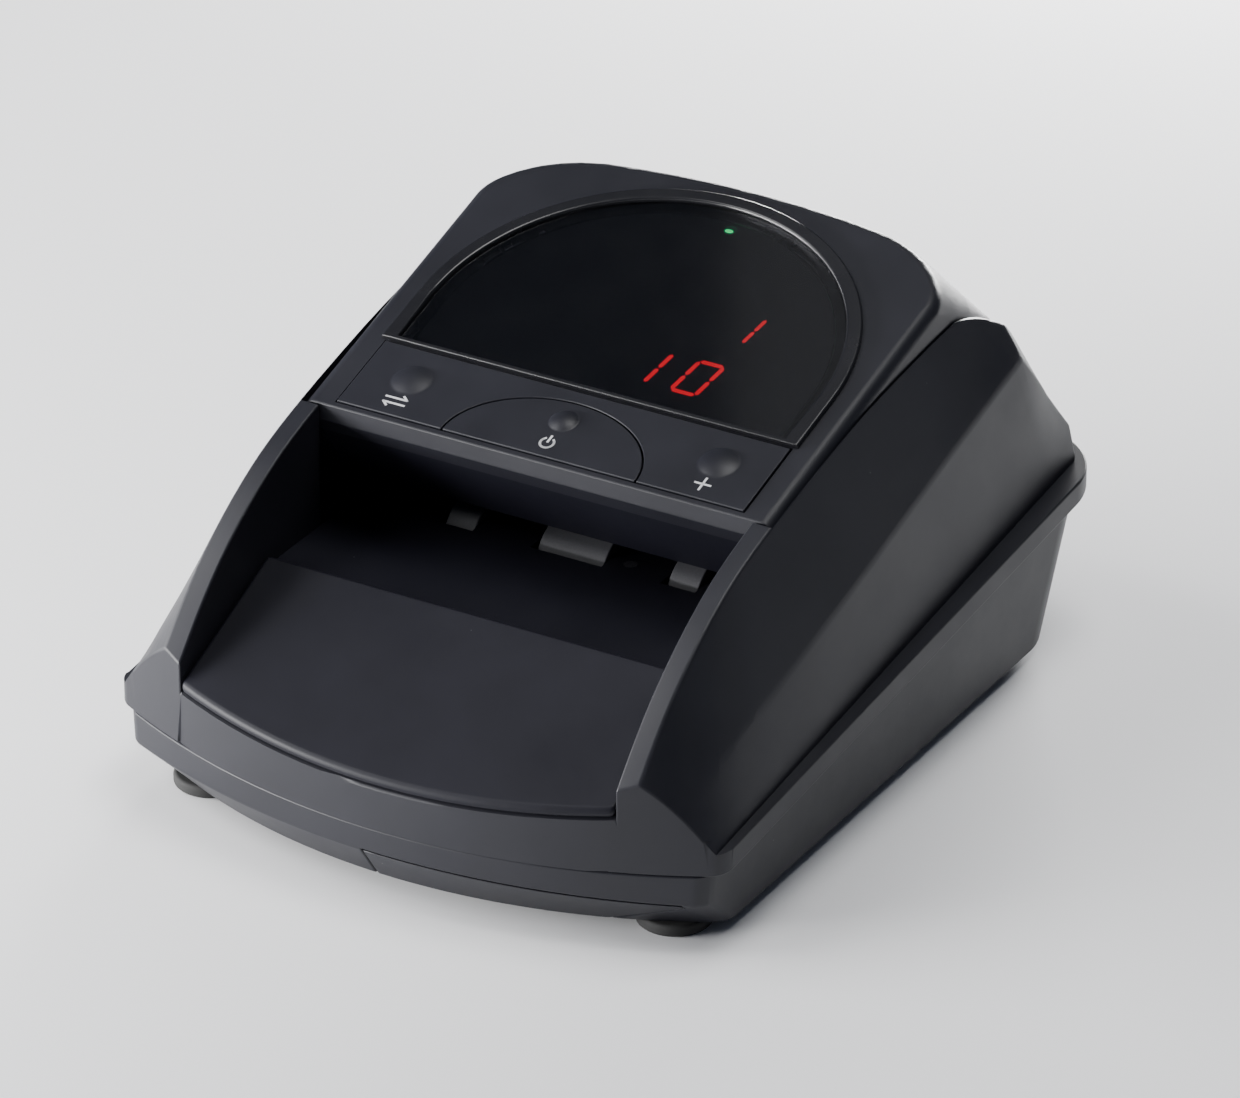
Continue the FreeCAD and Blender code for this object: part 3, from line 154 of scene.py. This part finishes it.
def grained_plastic(name, colour, roughness, grain=0.16, depth=0.010, dust=0.5, gleam=0.3):
    """Moulded plastic with a spark-eroded grain, faint handling marks and a little dust."""
    mat, nodes, links = new_material(name)
    shader = shader_of(nodes)
    place = nodes.new("ShaderNodeTexCoord").outputs["Object"]
    fine = add(nodes, "ShaderNodeTexNoise", Scale=1 / (grain * MM), Detail=3.0, Roughness=0.6)
    broad = add(nodes, "ShaderNodeTexNoise", Scale=1 / PATCH_SIZE, Detail=4.0, Roughness=0.65)
    specks = add(nodes, "ShaderNodeTexVoronoi", Scale=1 / DUST_SPACING, Randomness=1.0)
    for node in (fine, broad, specks):
        links.new(place, node.inputs["Vector"])
    tone = ramp(nodes, links, broad.outputs["Fac"], shades(colour, 0.88, 1.12))
    dot = ramp(nodes, links, specks.outputs["Distance"], [(DUST_RADIUS[0], dust), (DUST_RADIUS[1], 0.0)])
    chance = ramp(nodes, links, broad.outputs["Fac"], [(DUSTY_PATCH[0], 0.0), (DUSTY_PATCH[1], 1.0)])
    share = add(nodes, "ShaderNodeMath", operation="MULTIPLY")
    links.new(dot.outputs["Color"], share.inputs[0])
    links.new(chance.outputs["Color"], share.inputs[1])
    mix = add(nodes, "ShaderNodeMix", data_type="RGBA")
    links.new(share.outputs["Value"], mix.inputs["Factor"])
    links.new(tone.outputs["Color"], mix.inputs["A"])
    mix.inputs["B"].default_value = DUST_COLOUR
    links.new(mix.outputs["Result"], shader.inputs["Base Color"])
    gloss = ramp(nodes, links, broad.outputs["Fac"], [(0.25, roughness - 0.05), (0.75, roughness + 0.06)])
    links.new(gloss.outputs["Color"], shader.inputs["Roughness"])
    shader.inputs["Specular IOR Level"].default_value = gleam
    raise_grain(nodes, links, fine, 0.45, depth)
    return mat


def plain_finish(name, colour, roughness, metallic=0.0, streak=0.0, grain=0.3, depth=0.004, emission=0.0):
    """A finish with fine unevenness, drawn out along x where it is turned or rolled metal."""
    mat, nodes, links = new_material(name)
    shader = shader_of(nodes)
    place = nodes.new("ShaderNodeTexCoord").outputs["Object"]
    mapping = add(nodes, "ShaderNodeMapping")
    mapping.inputs["Scale"].default_value = (1 - 0.93 * streak, 1, 1)
    links.new(place, mapping.inputs["Vector"])
    noise = add(nodes, "ShaderNodeTexNoise", Scale=1 / (grain * MM), Detail=4.0, Roughness=0.6)
    links.new(mapping.outputs["Vector"], noise.inputs["Vector"])
    tone = ramp(nodes, links, noise.outputs["Fac"], shades(colour, 0.82, 1.1))
    links.new(tone.outputs["Color"], shader.inputs["Base Color"])
    smoothest = max(0.02, roughness - 0.06)
    gloss = ramp(nodes, links, noise.outputs["Fac"], [(0.3, smoothest), (0.7, roughness + 0.06)])
    links.new(gloss.outputs["Color"], shader.inputs["Roughness"])
    shader.inputs["Metallic"].default_value = metallic
    raise_grain(nodes, links, noise, 0.4, depth)
    if emission:
        links.new(tone.outputs["Color"], shader.inputs["Emission Color"])
        shader.inputs["Emission Strength"].default_value = emission
    return mat


SMEAR_SIZE = 9 * MM
ACRYLIC_IOR = 1.49


def smoked_acrylic(name):
    """Clear dark sheet with faint smears in its gloss."""
    mat, nodes, links = new_material(name)
    shader = shader_of(nodes)
    place = nodes.new("ShaderNodeTexCoord").outputs["Object"]
    noise = add(nodes, "ShaderNodeTexNoise", Scale=1 / SMEAR_SIZE, Detail=5.0, Roughness=0.6)
    links.new(place, noise.inputs["Vector"])
    gloss = ramp(nodes, links, noise.outputs["Fac"], [(0.3, 0.05), (0.75, 0.11)])
    links.new(gloss.outputs["Color"], shader.inputs["Roughness"])
    tint = ramp(nodes, links, noise.outputs["Fac"], [(0.3, (0.34, 0.34, 0.37)), (0.7, (0.38, 0.38, 0.41))])
    links.new(tint.outputs["Color"], shader.inputs["Base Color"])
    shader.inputs["Transmission Weight"].default_value = 1.0
    shader.inputs["IOR"].default_value = ACRYLIC_IOR
    return mat


FINISH = {
    "casing_plastic": grained_plastic("casing_plastic", (0.0120, 0.0122, 0.0170), 0.44, gleam=0.34),
    "tray_plastic": grained_plastic("tray_plastic", (0.006, 0.006, 0.0105), 0.48, gleam=0.22),
    "key_plastic": grained_plastic("key_plastic", (0.0128, 0.0130, 0.018), 0.42, grain=0.12),
    "rim_plastic": grained_plastic("rim_plastic", (0.010, 0.010, 0.012), 0.26, grain=0.12, depth=0.004,
                                   dust=0.2, gleam=0.5),
    "smoked_window": smoked_acrylic("smoked_window"),
    "circuit_board": plain_finish("circuit_board", (0.02, 0.13, 0.06), 0.42, grain=1.2, depth=0.02),
    "digit_plastic": plain_finish("digit_plastic", (0.02, 0.006, 0.006), 0.3, grain=0.6),
    "led_green": plain_finish("led_green", (0.0, 0.6, 0.14), 0.25, emission=2.0),
    "chip_black": plain_finish("chip_black", (0.018, 0.018, 0.018), 0.5),
    "can_aluminium": plain_finish("can_aluminium", (0.72, 0.72, 0.74), 0.3, metallic=1.0),
    "socket_white": plain_finish("socket_white", (0.8, 0.78, 0.72), 0.45),
    "plate_steel": plain_finish("plate_steel", (0.56, 0.56, 0.58), 0.34, metallic=1.0, streak=0.5),
    "motor_can": plain_finish("motor_can", (0.6, 0.6, 0.62), 0.28, metallic=1.0),
    "shaft_steel": plain_finish("shaft_steel", (0.66, 0.66, 0.68), 0.2, metallic=1.0, streak=1.0),
    "pulley_plastic": plain_finish("pulley_plastic", (0.76, 0.74, 0.68), 0.45),
    "belt_rubber": plain_finish("belt_rubber", (0.022, 0.022, 0.022), 0.75, depth=0.02),
    "roller_rubber": plain_finish("roller_rubber", (0.055, 0.055, 0.062), 0.5, depth=0.02),
    "bush_brass": plain_finish("bush_brass", (0.7, 0.5, 0.22), 0.35, metallic=1.0),
    "sensor_window": plain_finish("sensor_window", (0.012, 0.012, 0.018), 0.12, grain=6.0, depth=0.002),
    "sensor_lens": plain_finish("sensor_lens", (0.03, 0.03, 0.035), 0.15),
    "battery_wrap": plain_finish("battery_wrap", (0.04, 0.14, 0.38), 0.3, grain=2.0),
    "foot_rubber": plain_finish("foot_rubber", (0.02, 0.02, 0.02), 0.8, depth=0.03),
    "screw_steel": plain_finish("screw_steel", (0.5, 0.5, 0.51), 0.3, metallic=1.0),
}
MASK_BLACK = plain_finish("mask_black", (0.002, 0.002, 0.0025), 0.6, grain=1.5, depth=0.0002)
LIT_RED = plain_finish("lit_red", (0.85, 0.0, 0.012), 0.4, grain=0.5, emission=2.0)
# Painted light: the faint green halo round the status lamp, a finish that gives off light though the disc
# is no lamp.
GLOW_GREEN = plain_finish("glow_green", (0.0, 0.045, 0.018), 0.4, emission=1.0)
KEY_INK = plain_finish("key_ink", (0.66, 0.66, 0.68), 0.5, grain=0.2, depth=0.003)
for node, slot in SLOTS.items():
    mesh = NODES[node].data
    mesh.materials.clear()
    mesh.materials.append(FINISH[slot])

# Mesh pieces
JOIN = 0.002 * MM
SEAM = 0.04 * MM
FLAT = math.radians(0.3)
SHARP = math.radians(38)


def finish_piece(bm, name, material, body, node=None):
    """Turn a bmesh into a shaded piece that rides on a body and may stand for a CAD node."""
    for face in bm.faces:
        face.smooth = True
    for edge in bm.edges:
        edge.smooth = len(edge.link_faces) == 2 and edge.calc_face_angle(0.0) < SHARP
    data = bpy.data.meshes.new(name)
    bm.to_mesh(data)
    bm.free()
    data.materials.append(material)
    piece = bpy.data.objects.new(name, data)
    bpy.context.scene.collection.objects.link(piece)
    shading = piece.modifiers.new("even_shading", "WEIGHTED_NORMAL")
    shading.keep_sharp = True
    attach(piece, body)
    if node:
        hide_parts(node)


# Edges to roll over are found by their place, in mm across, along and up the machine or the hood.
# Slopes and shares are plain ratios.
CREASE_INNER = 54
CREASE_OUTER = 61
CREASE_FRONT = -62
CREASE_LOWEST = 30
SKIRT_CLEAR = 26
SKIRT_SLOPE = 0.15
ALONG_SHARE = 0.8
LIP_END = -42
RIDGE_LOWEST = 0.5
WINDOW_FOOT = 22
OPENING_HALF = 46
OPENING_START = 0.5
OPENING_END = 77
HOOD_UNDER = -14
TIP_SIDE = 59.5
TIP_FRONT = -64
TIP_BOTTOM = 19
TIP_TOP = 24
SLIVER_HALF = 51
SLIVER_START = 41
SLIVER_LOWEST = 70
TRAY_HALF = 47
TRAY_FRONT = -73
TRAY_FRONT_LEVEL = 28
TRAY_SLOPE = 0.62


def anywhere(edge):
    return True


def spots_of(edge):
    return [vert.co / MM for vert in edge.verts]


def hood_spots_of(edge):
    return [HOOD_FLAT @ vert.co / MM for vert in edge.verts]


def on_crease(edge):
    """Whether an edge lies on the long crease of a shoulder."""
    start, end = spots_of(edge)
    along = abs((end - start).normalized().y) > ALONG_SHARE
    above_skirt = start.z > max(CREASE_LOWEST, SKIRT_CLEAR + SKIRT_SLOPE * start.y)
    at_side = CREASE_INNER < abs(start.x) < CREASE_OUTER
    return along and above_skirt and at_side and min(start.y, end.y) > CREASE_FRONT


def on_lip(edge):
    """Whether an edge lies on the lip or the crest of the tray, clear of the note bed."""
    return max(spot.y for spot in spots_of(edge)) < LIP_END


def on_ridge(edge):
    """Whether an edge stands proud of the hood's plane, clear of the window's narrow foot."""
    spots = hood_spots_of(edge)
    return min(spot.z for spot in spots) > RIDGE_LOWEST and max(spot.y for spot in spots) > WINDOW_FOOT


def on_hood_outside(edge):
    """Whether an edge lies on the outside of the hood, clear of its openings."""
    spots = hood_spots_of(edge)
    opening = all(abs(spot.x) < OPENING_HALF and OPENING_START < spot.y < OPENING_END for spot in spots)
    return not opening and min(spot.z for spot in spots) > HOOD_UNDER


def at_tip(spot):
    return abs(spot.x) > TIP_SIDE and spot.y < TIP_FRONT and TIP_BOTTOM < spot.z < TIP_TOP


def at_sliver(spot):
    return abs(spot.x) < SLIVER_HALF and spot.y > SLIVER_START and spot.z > SLIVER_LOWEST


def behind_tray(spot):
    return abs(spot.x) < TRAY_HALF and spot.z < TRAY_FRONT_LEVEL + TRAY_SLOPE * (spot.y - TRAY_FRONT)


def on_shell_outside(edge):
    """Whether an edge of the upper shell has room for a roll: not at a tip, a sliver or behind the tray."""
    spots = spots_of(edge)
    cramped = any(at_tip(spot) or at_sliver(spot) for spot in spots)
    return not (cramped or all(behind_tray(spot) for spot in spots))


# A roll's number of segments, and the least angle at an edge that gets one
PLAIN_SEGMENTS = 3
PLAIN_LEAST = math.radians(24)
SOFT_SEGMENTS = 4
SOFT_LEAST = math.radians(6)


def roll(bm, width, segments, least, where):
    """Roll over the outward edges that turn by at least an angle, by a width in mm."""
    turned = [edge for edge in bm.edges if len(edge.link_faces) == 2
              and edge.calc_face_angle_signed(0.0) > least and where(edge)]
    bmesh.ops.bevel(bm, geom=turned, offset=width * MM, offset_type="OFFSET", affect="EDGES",
                    segments=segments, profile=0.5, material=-1, clamp_overlap=False, loop_slide=False)


# Where the shoulders turn in towards the rear: along the machine, up from the ledge and in from the side.
# The rear face is upright as far as the bend and leans forward above it.
TURN_START = 60 * MM
TURN_STEP = 1.5 * MM
TURN_STEPS = 10
TURN_RADIUS = 34 * MM
REAR_BEND = 41 * MM
REAR_LEAN = 0.386
LEDGE_LEVELS = [level * MM for level in (35.6, 38, 41, 45, 50)]
HOOD_SIDE = 49.5 * MM
SHOULDER_SIDE = 56 * MM


def past_turn(spot):
    return spot.y + REAR_LEAN * max(0.0, spot.z - REAR_BEND) - TURN_START


def share_between(value, low, high):
    return min(1.0, max(0.0, (value - low) / (high - low)))


def turn_shoulders(bm):
    """Bend the rear ends of both shoulders inwards along an arc, clear of the ledge and the hood."""
    low, high = LEDGE_LEVELS[0], LEDGE_LEVELS[-1]
    planes = [(Vector((0, 0, level)), Vector((0, 0, 1))) for level in LEDGE_LEVELS]
    for step in range(TURN_STEPS):
        planes.append((Vector((0, TURN_START + step * TURN_STEP, REAR_BEND)), Vector((0, 1, REAR_LEAN))))
    for place, normal in planes:
        near = [face for face in bm.faces if max(past_turn(vert.co) for vert in face.verts) > 0
                and max(abs(vert.co.x) for vert in face.verts) > HOOD_SIDE
                and max(vert.co.z for vert in face.verts) > low]
        around = {item for face in near for item in (*face.edges, *face.verts)}
        bmesh.ops.bisect_plane(bm, geom=near + list(around), dist=JOIN, plane_co=place, plane_no=normal)
    for vert in bm.verts:
        reach = min(max(0.0, past_turn(vert.co)), TURN_STEP * TURN_STEPS)
        side_share = share_between(abs(vert.co.x), HOOD_SIDE, SHOULDER_SIDE)
        level_share = share_between(vert.co.z, low, high)
        drop = TURN_RADIUS - math.sqrt(TURN_RADIUS ** 2 - reach ** 2)
        vert.co.x -= math.copysign(drop * side_share * level_share, vert.co.x)


def moulded(node, width, where=anywhere, softer=(), reshape=None):
    """A CAD node with its outer edges rolled over, some of them softer, as a moulding leaves its tool."""
    bm = bmesh.new()
    bm.from_mesh(NODES[node].data)
    bmesh.ops.remove_doubles(bm, verts=bm.verts, dist=SEAM)
    bmesh.ops.dissolve_limit(bm, angle_limit=FLAT, verts=bm.verts, edges=bm.edges)
    for place, broad in softer:
        roll(bm, broad, SOFT_SEGMENTS, SOFT_LEAST, place)
    roll(bm, width, PLAIN_SEGMENTS, PLAIN_LEAST, where)
    if reshape:
        reshape(bm)
    slot = SLOTS[node]
    finish_piece(bm, node + "_moulding", FINISH[slot], body_of(NODES[node])[0], node)


moulded("upper_shell", 0.45, where=on_shell_outside, softer=((on_crease, 0.9),), reshape=turn_shoulders)
moulded("hood_shell", 0.3, where=on_hood_outside)
moulded("base_pan", 0.4)
moulded("battery_door", 0.3)
moulded("feed_tray", 0.9, where=on_lip)
moulded("key_rocker", 0.22)
moulded("power_key", 0.22)
moulded("window_rim", 0.2, softer=((on_ridge, 0.6),))
for roller in ("front_drive_rollers", "rear_drive_rollers", "front_pinch_rollers", "rear_pinch_rollers"):
    moulded(roller, 0.3)
moulded("rubber_feet", 0.7)
moulded("power_jack", 0.2)
moulded("tray_screws", 0.3)


# Display: a black mask under the smoked window, with lit segments and a status light in it.
# Its sizes are in mm in the plane of the hood.
def thicken(bm, faces, height):
    """Extrude flat faces upwards."""
    raised = bmesh.ops.extrude_face_region(bm, geom=faces)["geom"]
    tops = [item for item in raised if isinstance(item, bmesh.types.BMVert)]
    bmesh.ops.translate(bm, verts=tops, vec=(0, 0, height * MM))


def slab(bm, outline, level, height):
    """A thin slab over an outline, from a level up."""
    lift = Vector((0, 0, level))
    face = bm.faces.new([bm.verts.new((spot + lift) * MM) for spot in outline])
    thicken(bm, [face], height)


def arch(half, start, centre, low, high, rounds=64):
    """A window shape with a half round top, from one level up to another."""
    bm = bmesh.new()
    rim = bmesh.ops.create_circle(bm, cap_ends=True, segments=rounds, radius=half * MM,
                                  matrix=Matrix.Translation((0, centre * MM, low * MM)))["verts"]
    for vert in rim:
        if vert.co.y < centre * MM - JOIN:
            vert.co.y = start * MM
            vert.co.x = math.copysign(half * MM, vert.co.x) if abs(vert.co.x) > JOIN else 0.0
    bmesh.ops.remove_doubles(bm, verts=bm.verts, dist=JOIN)
    thicken(bm, bm.faces[:], high - low)
    bmesh.ops.recalc_face_normals(bm, faces=bm.faces)
    return bm


def on_hood(bm):
    bmesh.ops.transform(bm, matrix=HOOD_FRAME, verts=bm.verts)
    return bm


MASK_HALF = 38.2
MASK_START = 21.4
WINDOW_CENTRE = 33.4
MASK_TOP = -1.75
MASK_UNDER = -2.1
mask = arch(MASK_HALF, MASK_START, WINDOW_CENTRE, MASK_UNDER, MASK_TOP)
finish_piece(on_hood(mask), "display_mask", MASK_BLACK, "hood")

# A digit has seven bars: start and end in shares of its width and height.
SEGMENTS = {
    "a": ((0, 1), (1, 1)), "b": ((1, 1), (1, 0.5)), "c": ((1, 0.5), (1, 0)), "d": ((0, 0), (1, 0)),
    "e": ((0, 0.5), (0, 0)), "f": ((0, 1), (0, 0.5)), "g": ((0, 0.5), (1, 0.5)),
}
ONE = "bc"
ZERO = "abcdef"
SLANT = math.tan(math.radians(9))
BAR_THICK = 0.04
BAR_GAP = 0.12
LARGE_DIGIT = {"wide": 5.0, "high": 8.6, "bar_width": 0.9}
SMALL_DIGIT = {"wide": 4.4, "high": 7.2, "bar_width": 0.75}
TENS_CORNER = (2.6, 26.7)
UNITS_CORNER = (13.2, 26.7)
COUNT_CORNER = (15.0, 42.4)


def bar(bm, start, end, width):
    """One pointed segment between two points on the mask."""
    along = (end - start).normalized()
    across = Vector((-along.y, along.x, 0)) * width / 2
    nib = along * width / 2
    gap = along * width * BAR_GAP
    outline = [start + gap, start + gap + nib + across, end - gap - nib + across, end - gap,
               end - gap - nib - across, start + gap + nib - across]
    slab(bm, outline, MASK_TOP, BAR_THICK)


def digit(bm, corner, bars, wide, high, bar_width):
    """A slanted seven-bar figure with some of its bars lit."""
    for name in bars:
        ends = []
        for share_x, share_y in SEGMENTS[name]:
            rise = share_y * high
            ends.append(Vector((corner[0] + share_x * wide + rise * SLANT, corner[1] + rise, 0)))
        bar(bm, ends[0], ends[1], bar_width)


figures = bmesh.new()
digit(figures, TENS_CORNER, ONE, **LARGE_DIGIT)
digit(figures, UNITS_CORNER, ZERO, **LARGE_DIGIT)
digit(figures, COUNT_CORNER, ONE, **SMALL_DIGIT)
bmesh.ops.recalc_face_normals(figures, faces=figures.faces)
finish_piece(on_hood(figures), "lit_digits", LIT_RED, "hood")

# The status lamp: a small lens in a wider glow. The glow is painted light: a disc round the lens that gives
# off a faint green light for the lamp's halo, though it is no lamp itself.
LAMP_X = 2.0
GLOW_Y = 69.6
LAMP_Y = 69.2
LAMP_LEVEL = MASK_TOP + 0.12
GLOW_RADIUS = 1.3
LAMP_RADIUS = 0.9
LAMP_SQUASH = 0.6
LENS_FLATNESS = 0.1


def lens(radius, squash, spot):
    """A flat lens over the mask, squashed along the slope."""
    bm = bmesh.new()
    bmesh.ops.create_uvsphere(bm, u_segments=24, v_segments=10, radius=radius * MM)
    bmesh.ops.scale(bm, vec=(1, squash, LENS_FLATNESS), verts=bm.verts)
    bmesh.ops.translate(bm, verts=bm.verts, vec=Vector(spot) * MM)
    return on_hood(bm)


glow = lens(GLOW_RADIUS, 1.0, (LAMP_X, GLOW_Y, MASK_TOP))
finish_piece(glow, "status_glow", GLOW_GREEN, "hood")
lamp = lens(LAMP_RADIUS, LAMP_SQUASH, (LAMP_X, LAMP_Y, LAMP_LEVEL))
finish_piece(lamp, "status_light", FINISH["led_green"], "hood")

# Pad printed signs in front of the three finger bumps. Each stroke is drawn from the middle of its sign.
INK_LEVEL = 0.3
INK_THICK = 0.03
INK_WIDTH = 0.42
SIGN_Y = 5.0
SIDE_SIGN_X = 32.0
RIGHT_ARROW = [[(-2.2, 0.7), (2.0, 0.7)], [(1.1, 1.5), (2.1, 0.7)]]
LEFT_ARROW = [[(2.2, -0.7), (-2.0, -0.7)], [(-1.1, -1.5), (-2.1, -0.7)]]
PLUS = [[(-1.5, 0), (1.5, 0)], [(0, -1.5), (0, 1.5)]]
RING_RADIUS = 1.3
RING_DROP = 0.2
RING_ANGLES = [math.radians(angle) for angle in range(40, 321, 20)]
POWER_RING = [(RING_RADIUS * math.sin(a), RING_RADIUS * math.cos(a) - RING_DROP) for a in RING_ANGLES]
POWER_LINE = [(0, 0.1), (0, 1.6)]


def stroke(bm, points):
    """A printed line through points in the plane of the hood."""
    for start, end in zip(points, points[1:]):
        along = (end - start).normalized()
        across = Vector((-along.y, along.x, 0)) * INK_WIDTH / 2
        tip = along * INK_WIDTH / 2
        outline = [start - tip - across, end + tip - across, end + tip + across, start - tip + across]
        slab(bm, outline, INK_LEVEL, INK_THICK)


def sign(name, strokes, x, y, body):
    bm = bmesh.new()
    for points in strokes:
        stroke(bm, [Vector((x + a, y + b, 0)) for a, b in points])
    bmesh.ops.recalc_face_normals(bm, faces=bm.faces)
    finish_piece(on_hood(bm), name, KEY_INK, body)


sign("sign_direction", RIGHT_ARROW + LEFT_ARROW, -SIDE_SIGN_X, SIGN_Y, "rocker")
sign("sign_power", [POWER_RING, POWER_LINE], 0, SIGN_Y, "power_button")
sign("sign_add", PLUS, SIDE_SIGN_X, SIGN_Y, "rocker")


# Camera, floor and soft light
def look_from(azimuth, elevation):
    return Vector((math.sin(azimuth) * math.cos(elevation), -math.cos(azimuth) * math.cos(elevation),
                   math.sin(elevation)))


camera_data = bpy.data.cameras.new("camera")
camera_data.sensor_width = SENSOR_WIDTH
camera_data.sensor_fit = "HORIZONTAL"
camera_data.lens = SENSOR_WIDTH * FOCAL_PIXELS / PHOTO_WIDTH
camera_data.clip_end = CAMERA_REACH
camera = bpy.data.objects.new("camera", camera_data)
bpy.context.scene.collection.objects.link(camera)
camera.location = CAMERA_PLACE
camera.rotation_euler = (-look_from(CAMERA_AZIMUTH, CAMERA_ELEVATION)).to_track_quat("-Z", "Y").to_euler()
bpy.context.scene.camera = camera

LIGHT_TARGET = (0, 0, 0.04)
HOOD_TARGET = (0.028, 0.016, 0.04)


def soft_light(name, azimuth, elevation, distance, width, height, power, target=LIGHT_TARGET):
    """A soft box that faces a target from an angle in degrees, with lengths in m and its power in W."""
    data = bpy.data.lights.new(name, "AREA")
    data.shape = "RECTANGLE"
    data.size = width
    data.size_y = height
    data.energy = power
    obj = bpy.data.objects.new(name, data)
    back = look_from(math.radians(azimuth), math.radians(elevation))
    obj.location = Vector(target) + back * distance
    obj.rotation_euler = (-back).to_track_quat("-Z", "Y").to_euler()
    bpy.context.scene.collection.objects.link(obj)


soft_light("left_softbox", -60, 46, 0.9, 0.5, 0.4, 5.0)
soft_light("right_softbox", 125, 80, 0.9, 0.5, 0.4, 5.5)
soft_light("overhead_softbox", 196, 55, 1.1, 0.7, 0.7, 0.38, target=HOOD_TARGET)
soft_light("left_strip", -88, 8, 0.5, 0.3, 0.08, 0.7)
soft_light("front_left_strip", -50, 5, 0.5, 0.4, 0.06, 7.0)
soft_light("rear_strip", 190, 7, 0.6, 0.3, 0.06, 7.0)

FLOOR_HALF = 3.0
FLOOR_COLOUR = (0.92, 0.92, 0.93, 1)
FLOOR_ROUGHNESS = 0.9
floor_mesh = bmesh.new()
bmesh.ops.create_grid(floor_mesh, x_segments=1, y_segments=1, size=FLOOR_HALF)
floor_data = bpy.data.meshes.new("floor")
floor_mesh.to_mesh(floor_data)
floor_mesh.free()
floor = bpy.data.objects.new("floor", floor_data)
bpy.context.scene.collection.objects.link(floor)
floor_paper = new_material("floor_paper")[0]
paper_shader = shader_of(floor_paper.node_tree.nodes)
paper_shader.inputs["Base Color"].default_value = FLOOR_COLOUR
paper_shader.inputs["Roughness"].default_value = FLOOR_ROUGHNESS
floor_data.materials.append(floor_paper)

SKY_COLOUR = (0.66, 0.76, 1.0, 1)
SKY_STRENGTH = 0.09
world = bpy.data.worlds.new("studio")
world.use_nodes = True
sky = world.node_tree.nodes["Background"]
sky.inputs["Color"].default_value = SKY_COLOUR
sky.inputs["Strength"].default_value = SKY_STRENGTH
bpy.context.scene.world = world
